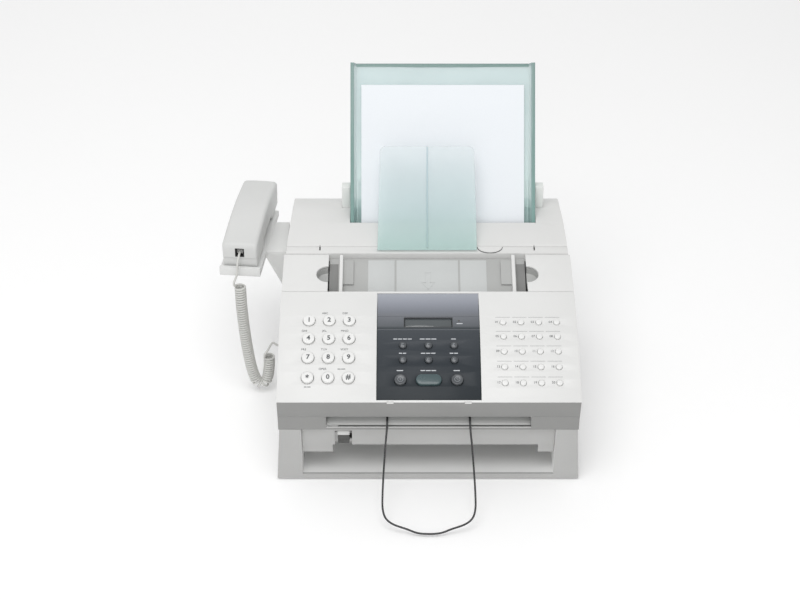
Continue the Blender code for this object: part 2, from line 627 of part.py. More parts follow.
def build_deck(unit):
    """Lower document guide, from the feed deck down to the exit slot."""
    half = DECK_WIDTH / 2.0 - GAP
    ys = (0.0032, 0.030, 0.080, PANEL_REAR_Y, WING_REAR_Y - WALL - GAP)
    top = [(y, deck_z(y)) for y in ys]
    under = [(y, deck_z(y) - DECK_THICKNESS) for y in reversed(ys)]
    deck = prism("feed_deck", top + under, -half + 0.0008, half - 0.0008, "grey_deck", unit)
    feed = 0.128
    sensor = 0.092
    window = SENSOR_HALF + SENSOR_GAP
    windows = [((-0.0320, feed - 0.0110, deck_z(feed) - 0.02), (0.0320, feed + 0.0110, deck_z(feed) + 0.02)),
               ((-window, sensor - 0.0085, deck_z(sensor) - 0.02),
                (window, sensor + 0.0085, deck_z(sensor) + 0.02))]
    cut(deck, boxes("cut_deck_windows", windows, unit))
    return deck


def build_feed_parts(unit):
    """Feed roller and image sensor in the deck's windows."""
    y = 0.128
    axis_at = Vector((0.0, y, deck_z(y) - ROLLER_RADIUS + 0.0020))
    axis = pivot("feed_roller_axis", axis_at, unit)
    rod("feed_roller", (-0.0300, axis_at.y, axis_at.z), (1, 0, 0), ROLLER_RADIUS, 0.0600, "rubber_black", axis)
    y = 0.092
    low = (-SENSOR_HALF, y - 0.0075, deck_z(y) - 0.0160)
    high = (SENSOR_HALF, y + 0.0075, deck_z(y) - 0.0025)
    box("image_sensor", low, high, "dark_plastic", unit)


def build_guide(unit, side, name):
    """L-shaped paper guide that slides across the deck."""
    at = Vector((side * GUIDE_X, PANEL_REAR_Y + WING_DEPTH * 0.5, 0.0))
    axis = pivot(name + "_axis", at, unit)
    y1 = WING_REAR_Y - 0.0060
    y0 = y1 - GUIDE_LENGTH
    lift = GAP * 1.5
    low = [(y0, deck_z(y0) + lift), (y1, deck_z(y1) + lift)]
    high = [(y1, deck_z(y1) + lift + GUIDE_HEIGHT * 0.75), (y0, deck_z(y0) + lift + GUIDE_HEIGHT)]
    x0 = at.x - GUIDE_WIDTH / 2.0
    guide = prism(name, low + high, x0, x0 + GUIDE_WIDTH, "white_shell", axis)
    base = [(y0 + 0.001, deck_z(y0 + 0.001) + lift + 0.0002), (y1 - 0.001, deck_z(y1 - 0.001) + lift + 0.0002),
            (y1 - 0.001, deck_z(y1 - 0.001) + lift + 0.0020), (y0 + 0.001, deck_z(y0 + 0.001) + lift + 0.0020)]
    inner = (x0 + 0.001, x0 + GUIDE_WIDTH + 0.012) if side < 0 else (x0 - 0.012, x0 + GUIDE_WIDTH - 0.001)
    join(guide, prism(name + "_foot", base, inner[0], inner[1], None, axis))
    return guide


# ---- operation panel ----------------------------------------------------------------------------
def number_places():
    """Name and place of each number key: columns by rows, bottom row first."""
    rows = (("key_star", "key_0", "key_hash"), ("key_7", "key_8", "key_9"),
            ("key_4", "key_5", "key_6"), ("key_1", "key_2", "key_3"))
    middle = -(FASCIA_WIDTH / 2.0 + HALF) / 2.0 + 0.0010
    places = []
    for r, names in enumerate(rows):
        for c, name in enumerate(names):
            x = middle + (c - 1) * NUMBER_COLUMN_PITCH
            places.append((name, x, NUMBER_FIRST_ROW + r * NUMBER_ROW_PITCH))
    return places


def one_touch_columns():
    middle = (FASCIA_WIDTH / 2.0 + HALF) / 2.0 + 0.0022
    return [middle + (c - 1.5) * ONE_TOUCH_PITCH for c in range(4)]


def one_touch_rows():
    return [ONE_TOUCH_FIRST_ROW + r * ONE_TOUCH_ROW_PITCH for r in range(5)]


def function_places():
    """Small round function keys in two rows of three."""
    return [(f"function_key_{r * 3 + c + 1}", (c - 1) * FUNCTION_PITCH, along)
            for r, along in enumerate(FUNCTION_ROWS) for c in range(3)]


def key_hole(bm, x, along, radius, sides, depth=0.012):
    """Cylinder through the panel's skin, square to the keys' board."""
    at = panel_point(along, x) - PANEL_NORMAL * depth
    cylinder_mesh(bm, at, PANEL_NORMAL, radius, depth + 0.008, sides)


def stadium(bm, at, length, radius, z0, z1, steps=6):
    """Pill-shaped block in the panel's own directions."""
    turn = Matrix.Rotation(PANEL_SLOPE, 3, "X")
    half = length / 2.0 - radius
    outline = []
    for centre, start in ((half, -math.pi / 2.0), (-half, math.pi / 2.0)):
        for i in range(steps + 1):
            a = start + math.pi * i / steps
            outline.append((centre + radius * math.cos(a), radius * math.sin(a)))
    rings = []
    for z in (z0, z1):
        rings.append([bm.verts.new(at + turn @ Vector((x, y, z))) for x, y in outline])
    bm.faces.new(rings[0])
    bm.faces.new(list(reversed(rings[1])))
    for i in range(len(outline)):
        j = (i + 1) % len(outline)
        bm.faces.new((rings[0][i], rings[1][i], rings[1][j], rings[0][j]))


def build_panel(panel):
    """Curved operation panel: a shallow shell open below, with its key holes."""
    steps = 8
    outline = ([(0.0 - 0.0005, BAND_BOTTOM_Z)] + panel_arc(0.0, ARC_LENGTH, steps)
               + [(PANEL_REAR_Y, SKIRT_REAR_Z)])
    shell = prism("control_panel", outline, -HALF, HALF, "white_shell", panel)
    inner_arc = panel_arc(WALL * 1.6, ARC_LENGTH - WALL, steps, sunk=WALL)
    inside = ([(WALL - 0.0005, BAND_BOTTOM_Z - 0.005)] + inner_arc
              + [(PANEL_REAR_Y - WALL, SKIRT_REAR_Z - 0.01)])
    cut(shell, prism("cut_panel_inside", inside, -HALF + WALL, HALF - WALL, None, panel))
    paper_way = [((-DECK_WIDTH / 2.0, PANEL_REAR_Y - WALL - 0.002, SKIRT_REAR_Z - 0.01),
                  (DECK_WIDTH / 2.0, PANEL_REAR_Y + 0.01, PANEL_REAR_Z - 0.0035))]
    cut(shell, boxes("cut_panel_rear", paper_way, panel))

    start = FASCIA_MARGIN - GAP
    end = ARC_LENGTH - FASCIA_MARGIN + GAP
    opening = panel_arc(start, end, steps, sunk=-0.004) + list(reversed(panel_arc(start, end, steps, sunk=0.006)))
    half = FASCIA_WIDTH / 2.0 + GAP
    cut(shell, prism("cut_fascia_opening", opening, -half, half, None, panel))

    bm = bmesh.new()
    for _name, x, along in number_places():
        key_hole(bm, x, along, NUMBER_KEY_RADIUS + KEY_HOLE_GAP, 16)
    for along in one_touch_rows():
        for x in one_touch_columns():
            key_hole(bm, x, along, ONE_TOUCH_RADIUS + KEY_HOLE_GAP, 10)
    cut(shell, add_mesh("cut_key_holes", bm, None, panel))
    return shell


def build_fascia(panel):
    """Dark centre strip with the display window and the function keys' holes."""
    start = FASCIA_MARGIN
    end = ARC_LENGTH - FASCIA_MARGIN
    half = FASCIA_WIDTH / 2.0
    outline = (panel_arc(start, end, 8, sunk=FASCIA_SINK)
               + list(reversed(panel_arc(start, end, 8, sunk=FASCIA_SINK + WALL))))
    plate = prism("fascia", outline, -half, half, "fascia_dark", panel)
    window = (panel_arc(DISPLAY_START, DISPLAY_START + DISPLAY_HEIGHT, 1, sunk=-0.004)
              + list(reversed(panel_arc(DISPLAY_START, DISPLAY_START + DISPLAY_HEIGHT, 1, sunk=0.008))))
    cut(plate, prism("cut_window", window, -DISPLAY_WIDTH / 2.0, DISPLAY_WIDTH / 2.0, None, panel))
    bm = bmesh.new()
    for _name, x, along in function_places():
        key_hole(bm, x, along, FUNCTION_KEY_RADIUS + KEY_HOLE_GAP, 12)
    for x in (-LARGE_KEY_OFFSET, LARGE_KEY_OFFSET):
        key_hole(bm, x, LARGE_KEY_ROW, LARGE_KEY_RADIUS + KEY_HOLE_GAP, 16)
    stadium(bm, panel_point(LARGE_KEY_ROW), START_KEY_LENGTH + 2 * KEY_HOLE_GAP,
            LARGE_KEY_RADIUS + KEY_HOLE_GAP, -0.012, 0.008)
    cut(plate, add_mesh("cut_function_holes", bm, None, panel))
    return plate


def build_display(panel):
    """Clear window over the one-line display."""
    start = DISPLAY_START + GAP
    end = DISPLAY_START + DISPLAY_HEIGHT - GAP
    outline = (panel_arc(start, end, 1, sunk=FASCIA_SINK + 0.0012)
               + list(reversed(panel_arc(start, end, 1, sunk=FASCIA_SINK + 0.0050))))
    half = DISPLAY_WIDTH / 2.0 - GAP
    return prism("display_window", outline, -half, half, "display_glass", panel)


def build_board(panel):
    """Key board under the panel, square to the keys."""
    turn = Matrix.Rotation(PANEL_SLOPE, 4, "X")
    at = panel_point(ARC_LENGTH * 0.43) - PANEL_NORMAL * 0.0185
    bm = bmesh.new()
    box_mesh(bm, (-0.172, -0.058, 0.0), (0.172, 0.056, 0.0016))
    bm.transform(Matrix.Translation(at) @ turn)
    return add_mesh("control_board", bm, "board_green", panel)


def key_mesh(name, radius, sides, proud, colour):
    """Turned key: cap on a wider flange that stays below the panel."""
    bm = bmesh.new()
    rim = 0.0006
    turn = 2.0 * math.pi
    profile = ((radius + KEY_FLANGE, -KEY_FLANGE_DEPTH - 0.0010), (radius + KEY_FLANGE, -KEY_FLANGE_DEPTH),
               (radius, -KEY_FLANGE_DEPTH), (radius, proud - rim), (radius - rim, proud))
    rings = []
    for r, z in profile:
        rings.append([bm.verts.new((r * math.cos(turn * i / sides), r * math.sin(turn * i / sides), z))
                      for i in range(sides)])
    for lower, upper in zip(rings, rings[1:]):
        for i in range(sides):
            j = (i + 1) % sides
            bm.faces.new((lower[i], lower[j], upper[j], upper[i]))
    bm.faces.new(rings[0])
    bm.faces.new(list(reversed(rings[-1])))
    bmesh.ops.recalc_face_normals(bm, faces=bm.faces)
    mesh = bpy.data.meshes.new(name)
    bm.to_mesh(mesh)
    bm.free()
    mesh.shade_smooth()
    mesh.set_sharp_from_angle(angle=math.radians(35.0))
    mesh.materials.append(material(colour))
    return mesh


def place_key(name, mesh, x, along, panel):
    """Key whose own origin and Z axis are its direction of travel."""
    key = bpy.data.objects.new(name, mesh)
    bpy.context.scene.collection.objects.link(key)
    key.parent = panel
    key.location = panel_point(along, x) - Vector(panel["place"])
    key.rotation_euler = (PANEL_SLOPE, 0.0, 0.0)
    return key


def build_keys(panel):
    number = key_mesh("number_key", NUMBER_KEY_RADIUS, 16, NUMBER_KEY_PROUD, "key_white")
    for name, x, along in number_places():
        place_key(name, number, x, along, panel)
    small = key_mesh("small_key", FUNCTION_KEY_RADIUS, 12, FUNCTION_PROUD, "key_dark")
    for name, x, along in function_places():
        place_key(name, small, x, along, panel)
    large = key_mesh("large_key", LARGE_KEY_RADIUS, 16, FUNCTION_PROUD, "key_dark")
    place_key("round_key_left", large, -LARGE_KEY_OFFSET, LARGE_KEY_ROW, panel)
    place_key("round_key_right", large, LARGE_KEY_OFFSET, LARGE_KEY_ROW, panel)

    at = panel_point(LARGE_KEY_ROW)
    bm = bmesh.new()
    stadium(bm, at, START_KEY_LENGTH, LARGE_KEY_RADIUS, -KEY_FLANGE_DEPTH - 0.0004, FUNCTION_PROUD)
    start = add_mesh("start_key", bm, "start_green", panel, smooth=True)
    bm = bmesh.new()
    stadium(bm, at, START_KEY_LENGTH + 2 * KEY_FLANGE, LARGE_KEY_RADIUS + KEY_FLANGE,
            -KEY_FLANGE_DEPTH - 0.0010, -KEY_FLANGE_DEPTH)
    join(start, add_mesh("start_flange", bm, None, panel))

    columns = one_touch_columns()
    for r, along in enumerate(reversed(one_touch_rows())):
        at = panel_point(along) - PANEL_NORMAL * KEY_FLANGE_DEPTH
        bm = bmesh.new()
        box_mesh(bm, (columns[0] - 0.005, -0.0040, -0.0012), (columns[-1] + 0.005, 0.0040, 0.0))
        bm.transform(Matrix.Translation(at) @ Matrix.Rotation(PANEL_SLOPE, 4, "X"))
        row = add_mesh(f"one_touch_row_{r + 1}", bm, "key_white", panel)
        bm = bmesh.new()
        for x in columns:
            foot = panel_point(along, x) - PANEL_NORMAL * (KEY_FLANGE_DEPTH + 0.0006)
            cylinder_mesh(bm, foot, PANEL_NORMAL, ONE_TOUCH_RADIUS,
                          KEY_FLANGE_DEPTH + 0.0006 + ONE_TOUCH_PROUD, 10)
        join(row, add_mesh(f"row_{r + 1}_caps", bm, None, panel, smooth=True))


# ---- wire tray --------------------------------------------------------------------------------------
def tube(name, points, diameter, colour, parent, resolution=2):
    """Round wire or cord through the given points, with closed ends."""
    curve = bpy.data.curves.new(name, "CURVE")
    curve.dimensions = "3D"
    curve.bevel_depth = diameter / 2.0
    curve.bevel_resolution = resolution
    curve.use_fill_caps = True
    line = curve.splines.new("POLY")
    line.points.add(len(points) - 1)
    for point, place in zip(line.points, points):
        point.co = (*place, 1.0)
    made = bpy.data.objects.new(name, curve)
    bpy.context.scene.collection.objects.link(made)
    curve.materials.append(material(colour))
    made.parent = parent
    made.location = -Vector(parent["place"])
    return made


def smooth_path(knots, spacing):
    """Catmull-Rom points through the knots, about one spacing apart."""
    pts = [Vector(k) for k in knots]
    pts = [pts[0] * 2 - pts[1]] + pts + [pts[-1] * 2 - pts[-2]]
    path = [pts[1]]
    for i in range(1, len(pts) - 2):
        a, b, c, d = pts[i - 1:i + 3]
        steps = max(1, round((c - b).length / spacing))
        for s in range(1, steps + 1):
            t = s / steps
            path.append(0.5 * ((2 * b) + (c - a) * t + (2 * a - 5 * b + 4 * c - d) * t * t
                               + (3 * b - a - 3 * c + d) * t ** 3))
    return path


def build_wire_tray(unit):
    """Bent wire that catches the documents, hooked into the exit slot."""
    axis = pivot("wire_tray_axis", WIRE_PIVOT, unit)
    length = math.hypot(WIRE_REACH, WIRE_DROP)
    ahead = Vector((0.0, -WIRE_REACH / length, -WIRE_DROP / length))
    s = WIRE_HALF_SPAN
    half = [(s + 0.010, 0.0), (s + 0.0015, 0.0), (s - 0.0003, 0.002), (s, 0.020), (s + 0.0018, 0.042),
            (s + 0.0040, 0.078), (s + 0.0051, 0.105), (s + 0.0046, 0.121), (s + 0.0008, 0.1315),
            (s - 0.008, 0.1385), (s - 0.024, length - 0.0060), (s * 0.22, length - 0.0006)]
    outline = half + [(-x, u) for x, u in reversed(half)]
    knots = [WIRE_PIVOT + ahead * u + Vector((x, 0.0, 0.0)) for x, u in outline]
    return tube("wire_tray", smooth_path(knots, 0.009), WIRE_DIAMETER, "steel_wire", axis)


# ---- handset, cradle and cord --------------------------------------------------------------------------
def handset_frame():
    """Matrix from the handset's own frame: y along it from its front end, z = 0 at the cradle."""
    return (Matrix.Translation((HANDSET_FRONT[0], HANDSET_FRONT[1], CRADLE_TOP))
            @ Matrix.Rotation(HANDSET_YAW, 4, "Z"))


def placed(name, outline, x0, x1, colour, parent, frame):
    bm = bmesh.new()
    prism_mesh(bm, outline, x0, x1)
    bm.transform(frame)
    return add_mesh(name, bm, colour, parent)


def build_handset(machine):
    """Two shells: an arched back and a face with the ear and mouth pieces."""
    place = Vector((HANDSET_FRONT[0], HANDSET_FRONT[1] + HANDSET_LENGTH / 2.0, CRADLE_TOP))
    axis = pivot("handset_axis", place, machine)
    frame = handset_frame()
    half = HANDSET_WIDTH / 2.0
    length = HANDSET_LENGTH
    split = 0.0155
    back = [(0.0, split), (0.0008, 0.0300), (0.006, 0.0365)]
    back += [(0.006 + (length - 0.012) * t, 0.0365 + 0.0065 * math.sin(math.pi * t)) for t in
             (0.15, 0.3, 0.5, 0.7, 0.85)]
    back += [(length - 0.006, 0.0365), (length - 0.0008, 0.0300), (length, split)]
    body = placed("handset_body", back, -half, half, "handset_shell", axis, frame)
    round_off = body.modifiers.new("round_edges", "BEVEL")
    round_off.width = 0.004
    round_off.segments = 2
    round_off.limit_method = "ANGLE"
    round_off.angle_limit = math.radians(50.0)
    socket = bmesh.new()
    box_mesh(socket, (-0.0055, -0.01, 0.0180), (0.0055, 0.0150, 0.0290))
    socket.transform(frame)
    cut(body, add_mesh("cut_handset_jack", socket, None, axis))

    low = FACE_LIFT
    face = [(0.001, split - GAP), (0.001, low), (0.046, low), (0.056, low + HANDSET_ARCH),
            (length - 0.056, low + HANDSET_ARCH), (length - 0.046, low), (length - 0.001, low),
            (length - 0.001, split - GAP)]
    placed("handset_face", face, -half + 0.001, half - 0.001, "handset_shell", axis, frame)
    return body


def build_cradle(machine):
    """Shelf for the handset with end lips, on an arm that hooks to the side of the machine."""
    frame = handset_frame()
    half = HANDSET_WIDTH / 2.0 + 0.0035
    length = CRADLE_LENGTH
    floor = -CRADLE_FLOOR
    outline = [(-0.0065, floor), (length, floor), (length, -GAP), (0.0, -GAP),
               (-0.0015, CRADLE_RIM), (-0.0065, CRADLE_RIM)]
    cradle = placed("cradle", outline, -half, half, "handset_shell", machine, frame)
    bm = bmesh.new()
    y0, y1 = CRADLE_ARM_Y
    z1 = CRADLE_TOP - 0.0010
    x0 = HANDSET_FRONT[0] + CRADLE_ARM_IN
    box_mesh(bm, (x0, y0, z1 - 0.0065), (-BASE_TOP - 0.0008, y1, z1))
    arm = add_mesh("cradle_arm", bm, None, machine)
    join(cradle, arm)
    bm = bmesh.new()
    low = z1 - CRADLE_GUSSET_DROP
    gusset = [(x0 + 0.0070, z1 - 0.0060), (-BASE_TOP - 0.0009, z1 - 0.0060),
              (-BASE_TOP - 0.0009, low), (-BASE_TOP - 0.0049, low)]
    near = [bm.verts.new((x, y0 + 0.0003, z)) for x, z in gusset]
    far = [bm.verts.new((x, y1 - 0.0003, z)) for x, z in gusset]
    bm.faces.new(near)
    bm.faces.new(list(reversed(far)))
    for i in range(4):
        j = (i + 1) % 4
        bm.faces.new((near[i], far[i], far[j], near[j]))
    join(cradle, add_mesh("cradle_gusset", bm, None, machine))
    well = bmesh.new()
    box_mesh(well, (-0.0052, 0.0780, -CRADLE_FLOOR - 0.01), (0.0052, 0.0920, 0.01))
    well.transform(frame)
    cut(cradle, add_mesh("cut_plunger_hole", well, None, machine))
    return cradle


def build_plunger(machine):
    """Hook switch plunger that stands in the cradle under the handset's grip."""
    frame = handset_frame()
    at = frame @ Vector((0.0, 0.085, 0.0))
    axis = pivot("hook_plunger_axis", at, machine)
    bm = bmesh.new()
    box_mesh(bm, (-0.0047, 0.0785, -CRADLE_FLOOR - 0.0020), (0.0047, 0.0915, FACE_LIFT + HANDSET_ARCH - GAP))
    bm.transform(frame)
    return add_mesh("hook_plunger", bm, "dark_plastic", axis)


def cord_places():
    """Hand-chosen route of the cord: handset jack, lead, coil, lead, side of the base."""
    start = handset_frame() @ Vector((0.0, -0.0040, 0.0235))
    top = Vector((-0.2445, 0.1940, 0.1780))
    coil = [top, (-0.2430, 0.1935, 0.150), (-0.2400, 0.1935, 0.115), (-0.2355, 0.1940, 0.075),
            (-0.2300, 0.1945, 0.040), (-0.2235, 0.1955, 0.0180), (-0.2155, 0.1965, 0.0125),
            (-0.2085, 0.1975, 0.0190), (-0.2045, 0.1985, 0.0380), (-0.2040, 0.1990, 0.0600)]
    upper = [start, start + Vector((-0.0004, -0.0080, -0.0010)), start + Vector((-0.0008, -0.0125, -0.0060)),
             Vector((-0.2446, 0.1925, 0.1880)), top + Vector((-0.0001, 0.0, 0.0030)),
             top + Vector((0.0, 0.0, 0.0006))]
    end = Vector((-BASE_TOP - 0.0065, BODY_JACK[0], BODY_JACK[1]))
    lower = [Vector((-0.2040, 0.1990, 0.0606)), Vector((-0.2040, 0.1992, 0.0640)),
             Vector((-0.2030, 0.1996, 0.0690)), Vector((-0.1990, BODY_JACK[0], 0.0665)),
             end + Vector((-0.003, 0.0, 0.0)), end]
    return upper, coil, lower


def build_cord(machine):
    upper, coil, lower = cord_places()
    tube("cord_lead_handset", smooth_path(upper, 0.004), CORD_DIAMETER, "cord_grey", machine)
    tube("cord_coil", smooth_path(coil, 0.008), COIL_DIAMETER, "cord_grey", machine, resolution=3)
    tube("cord_lead_body", smooth_path(lower, 0.004), CORD_DIAMETER, "cord_grey", machine)

    bm = bmesh.new()
    box_mesh(bm, (-0.0048, -0.0036, 0.0188), (0.0048, 0.0145, 0.0282))
    bm.transform(handset_frame())
    handset = bpy.data.objects["handset_axis"]
    add_mesh("plug_handset", bm, "plug_clear", handset)
    y, z = BODY_JACK
    box("plug_body", (-BASE_TOP - 0.0060, y - 0.0048, z - 0.0048),
        (-BASE_TOP + 0.0100, y + 0.0048, z + 0.0048), "plug_clear", machine)


# ---- inside the body -----------------------------------------------------------------------------------
def build_inside(machine):
    """The laser engine's main pieces, the board and the drive."""
    p = Vector((0.0, 0.1930, 0.1585))
    axis = pivot("pickup_roller_axis", p, machine)
    rod("pickup_roller", (TRAY_CENTRE_X - 0.055, p.y, p.z), (1, 0, 0), PICKUP_RADIUS, 0.110,
        "rubber_black", axis)
    x0 = TRAY_CENTRE_X - 0.1165
    x1 = TRAY_CENTRE_X + 0.1165
    cartridge = [(0.100, 0.0850), (0.172, 0.0800), (0.176, 0.1300), (0.150, 0.1420), (0.118, 0.1220),
                 (0.100, 0.1080)]
    prism("toner_cartridge", cartridge, x0, x1, "dark_plastic", machine)
    box("fuser_unit", (x0, 0.0680, 0.0560), (x1 - 0.004, 0.0950, 0.0900), "dark_plastic", machine)
    box("main_board", (-0.1690, 0.080, 0.0150), (-0.1674, 0.330, 0.1150), "board_green", machine)
    box("power_inlet", (0.1104, BODY_DEPTH - 0.030, 0.0204), (0.1396, BODY_DEPTH + 0.0006, 0.0436),
        "dark_plastic", machine)
    rod("drive_motor", (0.150, 0.215, 0.060), (1, 0, 0), 0.021, 0.024, "zinc_steel", machine)


def origin_shift():
    """Moves the machine so that its bounding box stands centred on the world's origin."""
    left = HANDSET_FRONT[0] - HANDSET_WIDTH / 2.0 - 0.0035
    tray_behind = TRAY_RIM_DEPTH + TRAY_WALL + TRAY_LIP_BACK
    tray_back = TRAY_FOOT.y + TRAY_UP.y * TRAY_HEIGHT - TRAY_OUT.y * tray_behind
    front = WIRE_PIVOT.y - WIRE_REACH - WIRE_DIAMETER / 2.0
    return Vector((-(left + BASE_BOTTOM) / 2.0, -(front + tray_back) / 2.0, 0.0))


def main():
    clear_scene()
    machine = pivot("machine", origin_shift(), None)
    build_base(machine)
    build_front_cover(machine)
    build_lever(machine)
    build_rear_cover(machine)
    build_hopper_frame(machine)
    build_paper_tray(machine)
    build_paper(machine)
    build_document_tray(machine)

    unit = pivot("upper_unit_axis", UNIT_PIVOT, machine)
    build_upper_housing(unit)
    build_deck(unit)
    build_feed_parts(unit)
    build_guide(unit, -1.0, "guide_left")
    build_guide(unit, 1.0, "guide_right")
    build_wire_tray(unit)

    panel = pivot("panel_axis", PANEL_PIVOT, unit)
    build_panel(panel)
    build_fascia(panel)
    build_display(panel)
    build_board(panel)
    build_keys(panel)

    build_handset(machine)
    build_cradle(machine)
    build_plunger(machine)
    build_cord(machine)
    build_inside(machine)


main()
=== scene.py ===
import json
import math
import random

import bmesh
import bpy
from mathutils import Matrix, Vector
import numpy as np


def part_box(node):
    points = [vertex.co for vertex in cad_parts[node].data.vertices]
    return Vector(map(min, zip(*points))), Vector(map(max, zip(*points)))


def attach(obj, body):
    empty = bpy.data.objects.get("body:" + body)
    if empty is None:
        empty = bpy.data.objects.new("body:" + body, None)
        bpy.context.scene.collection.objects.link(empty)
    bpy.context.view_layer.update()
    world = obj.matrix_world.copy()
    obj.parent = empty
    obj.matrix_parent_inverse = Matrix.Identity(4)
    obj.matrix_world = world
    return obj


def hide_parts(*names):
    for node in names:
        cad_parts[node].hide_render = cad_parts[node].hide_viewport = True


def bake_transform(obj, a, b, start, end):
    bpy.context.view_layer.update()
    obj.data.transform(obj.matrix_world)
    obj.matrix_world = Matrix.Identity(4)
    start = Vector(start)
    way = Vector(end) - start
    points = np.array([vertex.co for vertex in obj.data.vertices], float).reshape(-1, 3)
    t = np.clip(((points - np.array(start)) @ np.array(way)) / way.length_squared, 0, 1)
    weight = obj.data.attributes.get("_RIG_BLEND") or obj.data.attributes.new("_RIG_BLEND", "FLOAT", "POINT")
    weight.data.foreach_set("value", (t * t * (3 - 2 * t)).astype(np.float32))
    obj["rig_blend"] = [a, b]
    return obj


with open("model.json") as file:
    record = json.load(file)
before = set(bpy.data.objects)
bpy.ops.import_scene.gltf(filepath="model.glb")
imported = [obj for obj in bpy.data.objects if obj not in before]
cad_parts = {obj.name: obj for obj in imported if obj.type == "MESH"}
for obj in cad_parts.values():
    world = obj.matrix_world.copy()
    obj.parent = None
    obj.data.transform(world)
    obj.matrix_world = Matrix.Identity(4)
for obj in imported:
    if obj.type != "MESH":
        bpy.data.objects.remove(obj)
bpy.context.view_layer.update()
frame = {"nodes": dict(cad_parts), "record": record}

random.seed(7)

# everything below is drawn in the machine's own frame: x = 0 the middle of the body,
# y = 0 the front of its legs, z = 0 the table; "home" carries it to the frame's place
housingLow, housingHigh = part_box("upper_housing")
home = Vector(((housingLow.x + housingHigh.x) / 2, housingLow.y, 0.0))
halfWidth = (housingHigh.x - housingLow.x) / 2


# box of a frame node in the machine's own frame
def nodeBox(name):
    low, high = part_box(name)
    return low - home, high - home


# camera
cameraLook = {"place": (-0.0354, -1.59406, 1.34998), "tilt": 56.0, "lens": 73.692}

cameraData = bpy.data.cameras.new("studioCamera")
cameraData.lens = cameraLook["lens"]
cameraData.sensor_width = 36.0
cameraObject = bpy.data.objects.new("studioCamera", cameraData)
bpy.context.scene.collection.objects.link(cameraObject)
cameraObject.location = Vector(cameraLook["place"]) + home
cameraObject.rotation_euler = (math.radians(cameraLook["tilt"]), 0.0, 0.0)
bpy.context.scene.camera = cameraObject


# node materials
# colour ramp fed by a socket; stops are (position, colour)
def ramp(tree, source, stops):
    node = tree.nodes.new("ShaderNodeValToRGB")
    node.color_ramp.elements[0].position = stops[0][0]
    node.color_ramp.elements[0].color = (*stops[0][1], 1.0)
    node.color_ramp.elements[1].position = stops[-1][0]
    node.color_ramp.elements[1].color = (*stops[-1][1], 1.0)
    for position, colour in stops[1:-1]:
        node.color_ramp.elements.new(position).color = (*colour, 1.0)
    tree.links.new(source, node.inputs["Fac"])
    return node.outputs["Color"]


def noiseNode(tree, vector, scale, detail=3.0, rough=0.5):
    node = tree.nodes.new("ShaderNodeTexNoise")
    setInputs(node, {"Scale": scale, "Detail": detail, "Roughness": rough})
    tree.links.new(vector, node.inputs["Vector"])
    return node.outputs["Fac"]


def mapRange(tree, source, low, high, fromLow=0.3, fromHigh=0.7):
    node = tree.nodes.new("ShaderNodeMapRange")
    setInputs(node, {"From Min": fromLow, "From Max": fromHigh, "To Min": low, "To Max": high})
    tree.links.new(source, node.inputs["Value"])
    return node.outputs["Result"]


def shade(colour, by):
    return tuple(max(0.0, min(1.0, c * by)) for c in colour)


# new material: itself, its node tree, its shader and the object's coordinates
def newFinish(name):
    made = bpy.data.materials.new(name)
    made.use_nodes = True
    tree = made.node_tree
    coords = tree.nodes.new("ShaderNodeTexCoord").outputs["Object"]
    return made, tree, tree.nodes["Principled BSDF"], coords


def setInputs(node, values):
    for label, value in values.items():
        node.inputs[label].default_value = value


# base colour from two colours multiplied together
def paintWith(tree, shader, first, second):
    mix = tree.nodes.new("ShaderNodeMix")
    mix.data_type = "RGBA"
    mix.blend_type = "MULTIPLY"
    mix.inputs["Factor"].default_value = 1.0
    tree.links.new(first, mix.inputs["A"])
    tree.links.new(second, mix.inputs["B"])
    tree.links.new(mix.outputs["Result"], shader.inputs["Base Color"])


def roughen(tree, shader, source, strength, distance):
    bump = tree.nodes.new("ShaderNodeBump")
    setInputs(bump, {"Strength": strength, "Distance": distance})
    tree.links.new(source, bump.inputs["Height"])
    tree.links.new(bump.outputs["Normal"], shader.inputs["Normal"])


# moulded plastic: spark-eroded grain, faint flow marks, uneven gloss
def mouldedPlastic(name, look):
    made, tree, shader, coords = newFinish(name)
    colour = look["colour"]
    drift = look.get("drift", 0.03)
    cloud = noiseNode(tree, coords, look.get("cloudScale", 14.0), 4.0)
    body = ramp(tree, cloud, [(0.32, shade(colour, 1 - drift)), (0.68, shade(colour, 1 + drift))])
    grain = noiseNode(tree, coords, look.get("grainScale", 1500.0), 2.0, 0.6)
    speckle = ramp(tree, grain, [(0.30, shade((1, 1, 1), 1 - look.get("speckle", 0.03))),
                                 (0.62, (1, 1, 1))])
    paintWith(tree, shader, body, speckle)
    low, high = look.get("rough", (0.38, 0.5))
    smear = noiseNode(tree, coords, 30.0, 5.0, 0.65)
    tree.links.new(mapRange(tree, smear, low, high), shader.inputs["Roughness"])
    roughen(tree, shader, grain, look.get("bump", 0.12), 0.0004)
    setInputs(shader, {"IOR": 1.5, "Metallic": look.get("metal", 0.0), "Coat Weight": look.get("coat", 0.0),
                       "Coat Roughness": 0.08, "Specular IOR Level": look.get("specular", 0.4),
                       "Alpha": look.get("clear", 1.0)})
    return made


